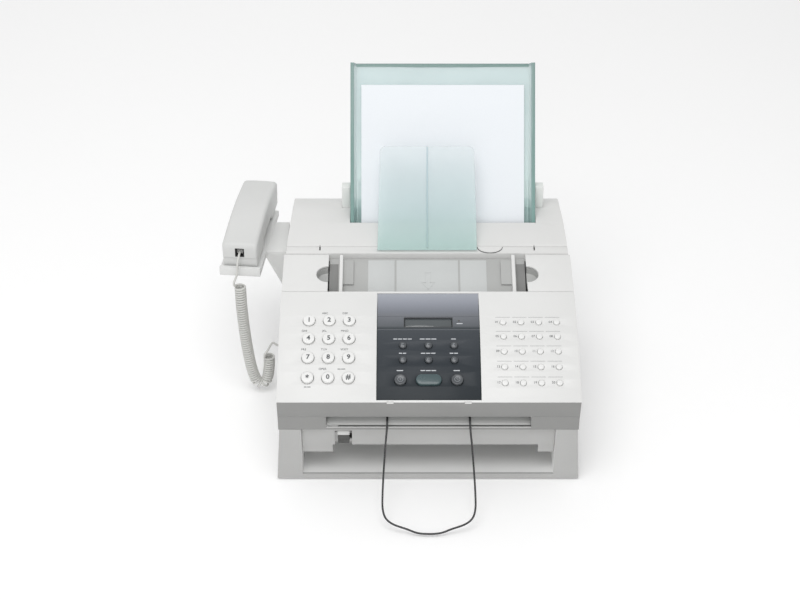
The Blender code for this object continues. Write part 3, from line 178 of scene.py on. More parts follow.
plasticLooks = {
    "shellWhite": {"colour": (0.715, 0.715, 0.705), "rough": (0.40, 0.52), "drift": 0.012, "speckle": 0.02},
    "panelWhite": {"colour": (0.765, 0.765, 0.755), "rough": (0.34, 0.46), "drift": 0.012, "speckle": 0.02},
    # darker grey of the front band: partly its own colour, partly painted shade
    "bandGreyAndPaintedShade": {"colour": (0.295, 0.295, 0.289), "rough": (0.42, 0.55), "drift": 0.03},
    "deckGrey": {"colour": (0.60, 0.615, 0.61), "rough": (0.44, 0.56), "drift": 0.025},
    # painted shade for the channel strips beside the wings
    "paintedChannelShade": {"colour": (0.25, 0.25, 0.245), "rough": (0.5, 0.62), "drift": 0.05},
    "channelGrey": {"colour": (0.47, 0.475, 0.465), "rough": (0.46, 0.58), "drift": 0.03},
    # painted light: lighter than the shell so the shaded paper bay reads brighter
    "bayPaintedLight": {"colour": (0.86, 0.86, 0.85), "rough": (0.44, 0.58), "drift": 0.02, "speckle": 0.02},
    "baseGrey": {"colour": (0.475, 0.475, 0.467), "rough": (0.44, 0.58), "drift": 0.03, "speckle": 0.05},
    "flapGrey": {"colour": (0.475, 0.475, 0.467), "rough": (0.42, 0.55), "drift": 0.03},
    "handsetGrey": {"colour": (0.665, 0.67, 0.66), "rough": (0.34, 0.46), "drift": 0.015, "speckle": 0.03},
    "cradleGrey": {"colour": (0.77, 0.775, 0.765), "rough": (0.40, 0.52), "drift": 0.02},
    "postGrey": {"colour": (0.80, 0.82, 0.80), "rough": (0.42, 0.54), "drift": 0.03},
    "keyWhite": {"colour": (0.82, 0.82, 0.81), "rough": (0.26, 0.36), "drift": 0.01, "speckle": 0.01,
                 "bump": 0.05},
    "keyDark": {"colour": (0.075, 0.082, 0.09), "rough": (0.20, 0.30), "drift": 0.06, "coat": 0.5,
                "bump": 0.05},
    "startGreen": {"colour": (0.062, 0.098, 0.105), "rough": (0.20, 0.30), "drift": 0.06, "coat": 0.5,
                   "bump": 0.05},
    "printDark": {"colour": (0.11, 0.115, 0.12), "rough": (0.5, 0.62), "drift": 0.08},
    "ridgeGrey": {"colour": (0.15, 0.165, 0.185), "rough": (0.4, 0.5), "drift": 0.05},
    "keyMark": {"colour": (0.27, 0.29, 0.31), "rough": (0.4, 0.5), "drift": 0.05},
    "printLight": {"colour": (0.62, 0.64, 0.67), "rough": (0.5, 0.62), "drift": 0.05},
    "cordGrey": {"colour": (0.66, 0.66, 0.635), "rough": (0.38, 0.52), "drift": 0.04, "bump": 0.06},
    "jackBlack": {"colour": (0.012, 0.012, 0.013), "rough": (0.5, 0.7), "drift": 0.2},
    "darkPlastic": {"colour": (0.045, 0.046, 0.048), "rough": (0.38, 0.55), "drift": 0.1, "bump": 0.2},
    "leverCap": {"colour": (0.72, 0.72, 0.71), "rough": (0.35, 0.48), "drift": 0.04},
    "leverDark": {"colour": (0.10, 0.10, 0.098), "rough": (0.4, 0.55), "drift": 0.08},
    "rubberBlack": {"colour": (0.025, 0.025, 0.026), "rough": (0.72, 0.9), "drift": 0.15, "bump": 0.4,
                    "grainScale": 900.0, "specular": 0.25},
    "boardGreen": {"colour": (0.035, 0.15, 0.07), "rough": (0.3, 0.5), "drift": 0.15, "cloudScale": 60.0},
    "chipBlack": {"colour": (0.02, 0.02, 0.022), "rough": (0.4, 0.6), "drift": 0.1},
    "brassPin": {"colour": (0.72, 0.53, 0.24), "rough": (0.2, 0.4), "metal": 1.0, "drift": 0.06},
    "zincSteel": {"colour": (0.56, 0.56, 0.55), "rough": (0.28, 0.48), "metal": 1.0, "drift": 0.08,
                  "cloudScale": 70.0},
    "copperDrum": {"colour": (0.10, 0.33, 0.30), "rough": (0.10, 0.2), "metal": 0.3, "drift": 0.05,
                   "coat": 0.6},
    "labelPaper": {"colour": (0.74, 0.74, 0.72), "rough": (0.5, 0.65), "drift": 0.02},
    "lampAmber": {"colour": (0.10, 0.085, 0.06), "rough": (0.15, 0.25), "drift": 0.05, "coat": 0.6},
    "plugClear": {"colour": (0.80, 0.80, 0.78), "rough": (0.12, 0.24), "drift": 0.03, "clear": 0.75,
                  "bump": 0.04},
    "wireBlack": {"colour": (0.018, 0.018, 0.02), "rough": (0.18, 0.34), "drift": 0.2, "coat": 0.4,
                  "grainScale": 420.0, "bump": 0.18},      # epoxy-dipped wire: glossy with faint ripples
}
finish = {name: mouldedPlastic(name, look) for name, look in plasticLooks.items()}


# tinted see-through polystyrene: tint changes with height, fine scuffs
def clearPlastic(name, look):
    made, tree, shader, coords = newFinish(name)
    height = tree.nodes.new("ShaderNodeSeparateXYZ")
    tree.links.new(coords, height.inputs["Vector"])
    rise = mapRange(tree, height.outputs["Z"], 0.0, 1.0, *look["span"])
    tint = ramp(tree, rise, [(0.0, look["low"]), (0.45, look["middle"]), (1.0, look["high"])])
    cloud = noiseNode(tree, coords, 22.0, 4.0)
    flow = ramp(tree, cloud, [(0.3, (0.965, 0.965, 0.965)), (0.7, (1, 1, 1))])
    paintWith(tree, shader, tint, flow)
    scuff = noiseNode(tree, coords, 160.0, 6.0, 0.7)
    tree.links.new(mapRange(tree, scuff, *look["rough"]), shader.inputs["Roughness"])
    roughen(tree, shader, scuff, 0.05, 0.0005)
    setInputs(shader, {"Alpha": look["clear"], "IOR": 1.49, "Specular IOR Level": 0.35})
    return made


# glossy lacquered plate whose tint runs from silver at its rear edge to charcoal in front: partly the
# plate's own two-tone finish, partly a painted reflection of the light above
def alongPanel(name, look):
    made, tree, shader, coords = newFinish(name)
    parts = tree.nodes.new("ShaderNodeSeparateXYZ")
    tree.links.new(coords, parts.inputs["Vector"])
    run = mapRange(tree, parts.outputs["Y"], 0.0, 1.0, *look["span"])
    tint = ramp(tree, run, look["stops"])
    flake = noiseNode(tree, coords, 2600.0, 2.0, 0.7)
    sparkle = ramp(tree, flake, [(0.3, (0.90, 0.90, 0.91)), (0.7, (1.0, 1.0, 1.0))])
    paintWith(tree, shader, tint, sparkle)
    smear = noiseNode(tree, coords, 36.0, 5.0, 0.65)
    tree.links.new(mapRange(tree, smear, 0.40, 0.50), shader.inputs["Roughness"])
    roughen(tree, shader, flake, 0.06, 0.0003)
    setInputs(shader, {"Specular IOR Level": 0.22, "Coat Weight": 0.05, "Coat Roughness": 0.15})
    return made


# uncoated sheets: fibres across the face
def paperFinish():
    made, tree, shader, coords = newFinish("officePaper")
    stretch = tree.nodes.new("ShaderNodeMapping")
    stretch.inputs["Scale"].default_value = (1.0, 3.5, 3.5)
    tree.links.new(coords, stretch.inputs["Vector"])
    fibre = noiseNode(tree, stretch.outputs["Vector"], 900.0, 5.0, 0.7)
    body = ramp(tree, fibre, [(0.3, (0.80, 0.83, 0.86)), (0.7, (0.86, 0.89, 0.92))])
    tree.links.new(body, shader.inputs["Base Color"])
    tree.links.new(mapRange(tree, fibre, 0.75, 0.92), shader.inputs["Roughness"])
    roughen(tree, shader, fibre, 0.15, 0.0001)
    shader.inputs["Specular IOR Level"].default_value = 0.2
    return made


# one-line display behind its window: dark field with a faint cell grid
def displayGlass():
    made, tree, shader, coords = newFinish("displayField")
    brick = tree.nodes.new("ShaderNodeTexBrick")
    setInputs(brick, {"Scale": 300.0, "Color1": (0.076, 0.087, 0.093, 1),
                      "Color2": (0.083, 0.095, 0.100, 1),
                      "Mortar": (0.099, 0.112, 0.118, 1), "Mortar Size": 0.012})
    tree.links.new(coords, brick.inputs["Vector"])
    tree.links.new(brick.outputs["Color"], shader.inputs["Base Color"])
    smear = noiseNode(tree, coords, 90.0, 4.0)
    tree.links.new(mapRange(tree, smear, 0.10, 0.22), shader.inputs["Roughness"])
    setInputs(shader, {"Coat Weight": 0.8, "Coat Roughness": 0.05})
    return made


finish["officePaper"] = paperFinish()
finish["displayField"] = displayGlass()
print("materials:", len(finish))


# mesh helpers
def newObject(name, mesh):
    made = bpy.data.objects.new(name, mesh)
    bpy.context.scene.collection.objects.link(made)
    return made


# object from a bmesh drawn in machine coordinates
def fromBmesh(name, bm, turn=True):
    if turn:
        bmesh.ops.recalc_face_normals(bm, faces=bm.faces)
    bm.transform(Matrix.Translation(home))
    mesh = bpy.data.meshes.new(name)
    bm.to_mesh(mesh)
    bm.free()
    return newObject(name, mesh)


# extrudes a (y, z) outline from x0 to x1
def addPrism(bm, outline, x0, x1, matrix=None):
    near = [bm.verts.new((x0, y, z)) for y, z in outline]
    far = [bm.verts.new((x1, y, z)) for y, z in outline]
    faces = [bm.faces.new(near), bm.faces.new(list(reversed(far)))]
    for i in range(len(outline)):
        j = (i + 1) % len(outline)
        faces.append(bm.faces.new((near[i], far[i], far[j], near[j])))
    if matrix:
        bmesh.ops.transform(bm, matrix=matrix, verts=near + far)
    return faces


def addBox(bm, low, high, matrix=None):
    outline = [(low[1], low[2]), (high[1], low[2]), (high[1], high[2]), (low[1], high[2])]
    return addPrism(bm, outline, low[0], high[0], matrix)


# skins closed rings of points one after another, with caps or as a ring of rings
def addLoft(bm, rings, closeRing=False):
    made = [[bm.verts.new(p) for p in ring] for ring in rings]
    pairs = list(zip(made, made[1:])) + ([(made[-1], made[0])] if closeRing else [])
    for lower, upper in pairs:
        for i in range(len(lower)):
            j = (i + 1) % len(lower)
            bm.faces.new((lower[i], lower[j], upper[j], upper[i]))
    if not closeRing:
        bm.faces.new(list(reversed(made[0])))
        bm.faces.new(made[-1])


def circleRing(matrix, radius, z, sides):
    turns = [2 * math.pi * i / sides for i in range(sides)]
    return [matrix @ Vector((radius * math.cos(a), radius * math.sin(a), z)) for a in turns]


# turns a (radius, z) profile round the matrix's own Z axis; ends are capped
def addLathe(bm, profile, sides, matrix):
    addLoft(bm, [circleRing(matrix, radius, z, sides) for radius, z in profile])


# object with one shape in it
def single(name, draw, *given, **more):
    bm = bmesh.new()
    draw(bm, *given, **more)
    return fromBmesh(name, bm)


# Catmull-Rom points through the knots, about one spacing apart
def smoothPath(knots, spacing):
    points = [Vector(k) for k in knots]
    points = [points[0] * 2 - points[1]] + points + [points[-1] * 2 - points[-2]]
    path = [points[1]]
    for i in range(1, len(points) - 2):
        a, b, c, d = points[i - 1:i + 3]
        steps = max(1, round((c - b).length / spacing))
        for s in range(1, steps + 1):
            t = s / steps
            path.append(0.5 * ((2 * b) + (c - a) * t + (2 * a - 5 * b + 4 * c - d) * t * t
                               + (3 * b - a - 3 * c + d) * t ** 3))
    return path


# a side vector at each point of a path, carried along it without twist
def carriedFrames(path):
    tangents = []
    for i in range(len(path)):
        step = path[min(i + 1, len(path) - 1)] - path[max(i - 1, 0)]
        tangents.append(step.normalized())
    side = tangents[0].orthogonal().normalized()
    sides = [side]
    for a, b in zip(tangents, tangents[1:]):
        side = (a.rotation_difference(b) @ side).normalized()
        side = (side - b * side.dot(b)).normalized()
        sides.append(side)
    return tangents, sides


# round tube along a path; its ends are eased to a dome
def addTube(bm, path, radius, sides):
    tangents, across = carriedFrames(path)
    rings = []
    for i, (point, tangent, side) in enumerate(zip(path, tangents, across)):
        other = tangent.cross(side)
        steps = [(0.0, radius)]
        if i == 0:
            steps = [(-0.30, radius * 0.55), (-0.12, radius * 0.88), (0.0, radius)]
        if i == len(path) - 1:
            steps = [(0.0, radius), (0.12, radius * 0.88), (0.30, radius * 0.55)]
        for shift, r in steps:
            centre = point + tangent * shift * radius
            rings.append([centre + (side * math.cos(2 * math.pi * k / sides)
                                    + other * math.sin(2 * math.pi * k / sides)) * r for k in range(sides)])
    addLoft(bm, rings)


# turns an object's modifiers into its plain mesh
def applied(obj):
    bpy.context.view_layer.update()
    graph = bpy.context.evaluated_depsgraph_get()
    mesh = bpy.data.meshes.new_from_object(obj.evaluated_get(graph), preserve_all_data_layers=True,
                                           depsgraph=graph)
    obj.modifiers.clear()
    old = obj.data
    obj.data = mesh
    mesh.name = obj.name
    if old.users == 0:
        bpy.data.meshes.remove(old)
    return obj


# boolean with one or more tool objects, which are then thrown away
def cutWith(obj, *tools, join=False):
    for tool in tools:
        step = obj.modifiers.new("cut", "BOOLEAN")
        step.operation = "UNION" if join else "DIFFERENCE"
        step.solver = "EXACT"
        step.object = tool
    applied(obj)
    for tool in tools:
        bpy.data.objects.remove(tool, do_unlink=True)
    return obj


# joins doubled points and dissolves flat edges of a mesh
def merge(mesh, outward=False):
    bm = bmesh.new()
    bm.from_mesh(mesh)
    bmesh.ops.remove_doubles(bm, verts=bm.verts, dist=2e-6)
    if outward:
        bmesh.ops.recalc_face_normals(bm, faces=bm.faces)
    bmesh.ops.dissolve_limit(bm, angle_limit=math.radians(0.8), verts=bm.verts, edges=bm.edges)
    bm.to_mesh(mesh)
    bm.free()


# rounds the sharp edges of a moulding
def soften(obj, width, segments=2, angle=32.0):
    merge(obj.data)
    step = obj.modifiers.new("roundEdges", "BEVEL")
    step.width = width
    step.segments = segments
    step.limit_method = "ANGLE"
    step.angle_limit = math.radians(angle)
    step.use_clamp_overlap = True
    step.harden_normals = False
    applied(obj)
    return obj


# gives a finished piece its finish, its body and what it stands for
def place(obj, body, material, stands=(), sharp=35.0):
    mesh = obj.data
    if len(mesh.materials) == 0:
        mesh.materials.append(finish[material])
    mesh.shade_smooth()
    mesh.set_sharp_from_angle(angle=math.radians(sharp))
    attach(obj, body)
    if stands:
        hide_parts(*stands)
    return obj


# two finishes on one piece, the second one where chosen(centre, face) holds
def twoFinishes(obj, names, chosen):
    obj.data.materials.clear()
    for name in names:
        obj.data.materials.append(finish[name])
    for face in obj.data.polygons:
        face.material_index = 1 if chosen(face.center - home, face) else 0


# a clean, merged copy of a frame node's mesh to refine
def nodeCopy(node, name):
    copy = newObject(name, frame["nodes"][node].data.copy())
    copy.data.materials.clear()
    merge(copy.data, outward=True)
    for attribute in [a.name for a in copy.data.attributes if a.name.startswith("custom_normal")]:
        copy.data.attributes.remove(copy.data.attributes[attribute])
    return copy


def bodyOf(node):
    return next(body for body, nodes in frame["record"]["behaviour"]["bodies"].items() if node in nodes)


# stands for a node with its edges rounded and its finish on
def refined(node, name, material, width, segments):
    piece = soften(nodeCopy(node, name), width, segments)
    return place(piece, bodyOf(node), material, (node,))


# bars side by side along X: louvres, ribs, slots, fins and treads all come from this tree
def barRowTree():
    tree = bpy.data.node_groups.new("barRow", "GeometryNodeTree")
    face = tree.interface
    face.new_socket("Geometry", in_out="INPUT", socket_type="NodeSocketGeometry")
    sizes = [("Count", "NodeSocketInt", 8), ("Pitch", "NodeSocketFloat", 0.01),
             ("Bar Width", "NodeSocketFloat", 0.003), ("Bar Length", "NodeSocketFloat", 0.03),
             ("Bar Height", "NodeSocketFloat", 0.002), ("Jitter", "NodeSocketFloat", 0.0),
             ("Seed", "NodeSocketInt", 3)]
    for label, kind, value in sizes:
        face.new_socket(label, in_out="INPUT", socket_type=kind).default_value = value
    face.new_socket("Finish", in_out="INPUT", socket_type="NodeSocketMaterial")
    face.new_socket("Geometry", in_out="OUTPUT", socket_type="NodeSocketGeometry")
    nodes, links = tree.nodes, tree.links
    given = nodes.new("NodeGroupInput")
    line = nodes.new("GeometryNodeMeshLine")
    line.mode = "OFFSET"
    step = nodes.new("ShaderNodeCombineXYZ")
    links.new(given.outputs["Pitch"], step.inputs["X"])
    links.new(step.outputs["Vector"], line.inputs["Offset"])
    links.new(given.outputs["Count"], line.inputs["Count"])
    bar = nodes.new("GeometryNodeMeshCube")
    size = nodes.new("ShaderNodeCombineXYZ")
    links.new(given.outputs["Bar Width"], size.inputs["X"])
    links.new(given.outputs["Bar Length"], size.inputs["Y"])
    links.new(given.outputs["Bar Height"], size.inputs["Z"])
    links.new(size.outputs["Vector"], bar.inputs["Size"])
    stand = nodes.new("GeometryNodeInstanceOnPoints")
    links.new(line.outputs["Mesh"], stand.inputs["Points"])
    links.new(bar.outputs["Mesh"], stand.inputs["Instance"])
    loose = nodes.new("FunctionNodeRandomValue")
    loose.data_type = "FLOAT_VECTOR"
    links.new(given.outputs["Seed"], loose.inputs["Seed"])
    swing = nodes.new("ShaderNodeVectorMath")
    swing.operation = "SCALE"
    centred = nodes.new("ShaderNodeVectorMath")
    centred.operation = "SUBTRACT"
    centred.inputs[1].default_value = (0.5, 0.5, 0.5)
    links.new(loose.outputs["Value"], centred.inputs[0])
    links.new(centred.outputs["Vector"], swing.inputs[0])
    links.new(given.outputs["Jitter"], swing.inputs["Scale"])
    shift = nodes.new("GeometryNodeTranslateInstances")
    links.new(stand.outputs["Instances"], shift.inputs["Instances"])
    links.new(swing.outputs["Vector"], shift.inputs["Translation"])
    real = nodes.new("GeometryNodeRealizeInstances")
    links.new(shift.outputs["Instances"], real.inputs["Geometry"])
    paint = nodes.new("GeometryNodeSetMaterial")
    links.new(real.outputs["Geometry"], paint.inputs["Geometry"])
    links.new(given.outputs["Finish"], paint.inputs["Material"])
    result = nodes.new("NodeGroupOutput")
    links.new(paint.outputs["Geometry"], result.inputs["Geometry"])
    return tree


barRow = barRowTree()


# runs the bar row tree, places its first bar with the matrix and keeps the plain mesh
def barRowObject(name, sizes, material, matrix):
    made = newObject(name, bpy.data.meshes.new(name))
    step = made.modifiers.new("barRow", "NODES")
    step.node_group = barRow
    wanted = dict(sizes, Finish=finish[material])
    for item in barRow.interface.items_tree:
        if item.item_type == "SOCKET" and item.in_out == "INPUT" and item.name in wanted:
            step[item.identifier] = wanted[item.name]
    applied(made)
    made.data.transform(Matrix.Translation(home) @ matrix)
    return made


print("helpers ready")


# handset's own frame
handsetSizes = {"front": (-0.2440, 0.2050, 0.1870), "yaw": -5.5, "length": 0.170, "width": 0.0465,
                "split": 0.0155}
handsetPlace = (Matrix.Translation(handsetSizes["front"])
                @ Matrix.Rotation(math.radians(handsetSizes["yaw"]), 4, "Z"))


# cord
cordSizes = {"wire": 0.0030, "coilOuter": 0.0156, "pitch": 0.0035, "pointsPerTurn": 14, "sides": 9,
             "loosest": 0.0066}


# points of the whole cord: handset jack, lead, tight coil that hangs in a U, lead, base
def cordRoute():
    radius = (cordSizes["coilOuter"] - cordSizes["wire"]) / 2
    knots = [(-0.2445, 0.1925, 0.1670), (-0.2440, 0.1895, 0.140), (-0.2425, 0.1875, 0.110),
             (-0.2398, 0.1862, 0.075), (-0.2358, 0.1858, 0.042), (-0.2305, 0.1862, 0.0205),
             (-0.2232, 0.1870, 0.0130), (-0.2160, 0.1880, 0.0190), (-0.2122, 0.1895, 0.0370),
             (-0.2114, 0.1910, 0.0580)]
    axis = smoothPath(knots, 0.0012)
    tangents, across = carriedFrames(axis)
    first = tangents[0].cross(across[0])
    phase = math.atan2(-first.x, -across[0].x)      # the first turn starts on the outer side
    coil = []
    turns = 0.0
    for i in range(len(axis) - 1):
        a, b = axis[i], axis[i + 1]
        step = (b - a).length
        turn = tangents[i].angle(tangents[i + 1], 0.0)
        bend = step / turn if turn > 1e-6 else 9.0
        pitch = cordSizes["pitch"]
        if bend > radius * 1.2:
            pitch = max(pitch, cordSizes["wire"] * bend / (bend - radius))
        else:
            pitch = cordSizes["loosest"]
        pitch = min(pitch, cordSizes["loosest"])
        more = step / pitch
        count = max(1, round(more * cordSizes["pointsPerTurn"]))
        for k in range(count):
            t = k / count
            angle = phase + 2 * math.pi * (turns + more * t)
            side = across[i].lerp(across[i + 1], t).normalized()
            other = tangents[i].lerp(tangents[i + 1], t).normalized().cross(side)
            coil.append(a.lerp(b, t) + (side * math.cos(angle) + other * math.sin(angle)) * radius)
        turns += more
    start = handsetPlace @ Vector((0.0, 0.0020, 0.0235))
    back = (coil[0] - coil[1]).normalized()
    rise = Vector((0.0, 0.0, 1.0))
    upper = smoothPath([start, start + Vector((-0.0006, -0.0095, -0.0006)),
                        start + Vector((-0.0020, -0.0150, -0.0065)),
                        coil[0] + Vector((0.0030, -0.0020, 0.0190)),
                        coil[0] + back * 0.0052 + rise * 0.0075,
                        coil[0] + back * 0.0030 + rise * 0.0016, coil[0]], 0.0012)
    coil = coil[:-cordSizes["pointsPerTurn"] // 2]      # the lower lead leaves on the outer side too
    last = coil[-1]
    onward = (last - coil[-2]).normalized()
    lower = smoothPath([last, last + onward * 0.0030 + rise * 0.0016,
                        last + onward * 0.0052 + rise * 0.0070,
                        last + onward * 0.0048 + rise * 0.0125 + Vector((0.0038, 0.0, 0.0)),
                        Vector((-0.2070, 0.1970, 0.0722)), Vector((-0.2010, 0.1985, 0.0680)),
                        Vector((-0.1945, 0.2000, 0.0640)), Vector((-0.1890, 0.2000, 0.0630))], 0.0012)
    print("cord coil turns:", round(turns, 1))
    return upper[:-1] + coil[:-1] + lower


def makeCord():
    route = cordRoute()
    cord = single("curlyCord", addTube, route, cordSizes["wire"] / 2, cordSizes["sides"])
    cord.data.materials.append(finish["cordGrey"])
    cord.data.shade_smooth()

    bm = bmesh.new()      # modular plugs: clear body and locking tab
    addBox(bm, (-0.0040, 0.0046, 0.0196), (0.0040, 0.0145, 0.0274), handsetPlace)
    addBox(bm, (-0.0024, 0.0050, 0.0276), (0.0024, 0.0120, 0.0282), handsetPlace)
    upperPlug = soften(fromBmesh("handsetPlug", bm), 0.0005)
    place(upperPlug, "handset", "plugClear", ("plug_handset",))
    low, high = nodeBox("plug_body")
    bm = bmesh.new()
    addBox(bm, low + Vector((0.0022, 0, 0)), high)
    addBox(bm, (low.x + 0.0030, low.y + 0.0020, high.z + 0.0001),
           (high.x, high.y - 0.0020, high.z + 0.0006))
    lowerPlug = soften(fromBmesh("basePlug", bm), 0.0005)
    place(lowerPlug, "chassis", "plugClear", ("plug_body",))

    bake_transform(cord, "chassis", "handset", start=Vector((-0.24, 0.19, 0.075)) + home,
             end=Vector((-0.24, 0.19, 0.185)) + home)
    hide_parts("cord_lead_handset", "cord_coil", "cord_lead_body")


makeCord()


# base
baseSizes = {"rounding": 0.0014, "sideSlots": 16, "slotPitch": 0.0068, "slotWidth": 0.0026,
             "slotLength": 0.030, "footRadius": 0.0104}


# bars in a row along Y on a side wall
def sideways(x, y, z):
    return (Matrix.Translation((x, y, z)) @ Matrix.Rotation(math.pi / 2, 4, "Z")
            @ Matrix.Rotation(math.pi / 2, 4, "X"))


def makeBase():
    low, high = nodeBox("base_housing")
    tools = []
    row = {"Count": baseSizes["sideSlots"], "Pitch": baseSizes["slotPitch"],
           "Bar Width": baseSizes["slotWidth"], "Bar Length": baseSizes["slotLength"], "Bar Height": 0.016}
    for z in (0.0440, 0.0840):
        tools.append(barRowObject("cutVents", row, "darkPlastic", sideways(high.x - 0.004, 0.2150, z)))
    tools.append(barRowObject("cutVents", dict(row, Count=9), "darkPlastic",
                              sideways(low.x + 0.004, 0.2500, 0.0420)))
    backRow = (Matrix.Translation((-0.150, high.y, 0.105)) @ Matrix.Rotation(math.pi / 2, 4, "X"))
    tools.append(barRowObject("cutVents", dict(row, Count=20, Pitch=0.0085), "darkPlastic", backRow))
    base = nodeCopy("base_housing", "baseHousing")
    # a seam line runs round the base a little above the feet
    bm = bmesh.new()
    inX, inY, out = 0.0016, 0.0006, 0.01
    plan = [(low.x - out, 0.03), (low.x + inX, 0.03), (low.x + inX, high.y - inY),
            (high.x - inX, high.y - inY), (high.x - inX, 0.03), (high.x + out, 0.03),
            (high.x + out, high.y + out), (low.x - out, high.y + out)]
    addLoft(bm, [[Vector((x, y, z)) for x, y in plan] for z in (0.0118, 0.0128)])
    tools.append(fromBmesh("cutSeam", bm))
    cutWith(base, *tools)
    soften(base, baseSizes["rounding"], 3, 40.0)
    # the paper bay behind the flap takes a lighter finish: painted light lifting the shade inside the recess
    twoFinishes(base, ("baseGrey", "bayPaintedLight"), lambda centre, _face:
                abs(centre.x) < 0.1625 and 0.004 < centre.y < 0.20 and 0.0035 < centre.z < 0.0795)
    place(base, "chassis", "baseGrey", ("base_housing",))

    bm = bmesh.new()      # rubber pads on the moulded feet
    inset = 0.024
    for x in (low.x + inset, high.x - inset):
        for y in (inset, high.y - inset):
            addLathe(bm, ((0.0078, 0.0), (0.0098, 0.0003), (baseSizes["footRadius"], 0.0010),
                          (baseSizes["footRadius"], 0.0024)), 40, Matrix.Translation((x, y, 0.0)))
    place(fromBmesh("rubberFeet", bm), "chassis", "rubberBlack")

    bm = bmesh.new()      # power socket's rim and blank rating plate at the back
    rim = [(0.1075, 0.0175), (0.1425, 0.0175), (0.1425, 0.0465), (0.1075, 0.0465)]
    inner = [(0.1098, 0.0198), (0.1402, 0.0198), (0.1402, 0.0442), (0.1098, 0.0442)]
    y0, y1 = high.y + 0.0001, high.y + 0.0012
    rings = [[Vector((x, y0, z)) for x, z in rim], [Vector((x, y1, z)) for x, z in rim],
             [Vector((x, y1, z)) for x, z in inner], [Vector((x, y0, z)) for x, z in inner]]
    addLoft(bm, rings, closeRing=True)
    place(soften(fromBmesh("inletRim", bm), 0.0003), "chassis", "darkPlastic")
    place(soften(single("ratingPlate", addBox, (-0.0500, high.y + 0.0001, 0.0300),
                        (0.0300, high.y + 0.0005, 0.0660)), 0.0001, 1), "chassis", "labelPaper")


makeBase()


# front flap and lever
flapSizes = {"rounding": 0.0007}


def makeFront():
    flap = nodeCopy("front_cover", "frontFlap")
    soften(flap, flapSizes["rounding"], 3)
    place(flap, "front_cover", "flapGrey", ("front_cover",))
    low, high = nodeBox("front_cover")
    bm = bmesh.new()      # two stiffening ribs behind
    addBox(bm, (low.x + 0.006, high.y + 0.0001, high.z - 0.010),
           (high.x - 0.006, high.y + 0.0022, high.z - 0.0088))
    addBox(bm, (-0.090, high.y + 0.0001, low.z + 0.0135), (high.x - 0.024, high.y + 0.0022, low.z + 0.0147))
    place(soften(fromBmesh("flapRibs", bm), 0.0002, 1), "front_cover", "flapGrey")

    low, high = nodeBox("selector_lever")
    middle = (low.x + high.x) / 2
    half = (high.x - low.x) / 2
    pivot = Vector((middle, 0.0200, 0.0505))
    outline = [(pivot.y - 0.004, pivot.z - 0.004), (pivot.y + 0.004, pivot.z - 0.004),
               (pivot.y + 0.0038, pivot.z + 0.006), (pivot.y - 0.004, pivot.z + 0.0152),
               (pivot.y - 0.0114, pivot.z + 0.0152), (pivot.y - 0.0112, pivot.z + 0.0080)]
    stem = soften(single("leverStem", addPrism, outline, low.x + 0.0006, high.x - 0.0006), 0.0006)
    fins = barRowObject("leverFins", {"Count": 7, "Pitch": 0.0018, "Bar Width": 0.0007,
                                      "Bar Length": 0.0012, "Bar Height": 0.0100}, "leverDark",
                        Matrix.Translation((middle - 0.0054, pivot.y - 0.0108, pivot.z + 0.0102)))
    cutWith(stem, fins, join=True)
    stem.data.materials.clear()
    place(stem, "selector_lever", "leverDark", ("selector_lever",))
    bm = bmesh.new()
    cap = [(pivot.y - 0.0124, pivot.z + 0.0154), (pivot.y - 0.0040, pivot.z + 0.0154),
           (pivot.y - 0.0040, pivot.z + 0.0214), (pivot.y - 0.0118, pivot.z + 0.0214)]
    addPrism(bm, cap, middle - half, middle + half)
    place(soften(fromBmesh("leverCap", bm), 0.0009, 3), "selector_lever", "leverCap")


makeFront()


# rear cover
coverSizes = {"frontY": 0.2114, "frontZ": 0.2055, "crownY": 0.286, "crownZ": 0.2300, "backDrop": 0.040,
              "bottomZ": 0.1504, "endRounding": 0.0180, "endShear": 0.0062, "tabX": 0.0820,
              "tabHalf": 0.0160, "wall": 0.0025, "creaseY": 0.2205,
              "tickX": 0.1400, "louvres": 17, "traySlot": (0.2560, 0.2895), "restSlot": (0.2122, 0.2182)}


# (y, z) points over the cover's arch, front to back
def coverTop(inset=0.0, fine=1):
    back = nodeBox("rear_cover")[1].y
    front = (coverSizes["frontY"] + inset, coverSizes["frontZ"] - inset)
    crown = (coverSizes["crownY"], coverSizes["crownZ"] - inset)
    end = (back - inset, coverSizes["crownZ"] - coverSizes["backDrop"])
    rise = []
    for i in range(4 * fine):
        t = i / (4 * fine)
        rise.append((front[0] + (crown[0] - front[0]) * t,
                     front[1] + (crown[1] - front[1]) * math.sin(t * math.pi / 2)))
    fall = []
    for i in range(6 * fine + 1):
        a = math.pi * i / (12.0 * fine)
        fall.append((crown[0] + (end[0] - crown[0]) * math.sin(a),
                     end[1] + (crown[1] - end[1]) * math.cos(a)))
    return rise + fall


def topZ(y):
    outline = coverTop(fine=6)
    for (ya, za), (yb, zb) in zip(outline, outline[1:]):
        if ya <= y <= yb:
            return za + (zb - za) * (y - ya) / max(yb - ya, 1e-9)
    return outline[-1][1]


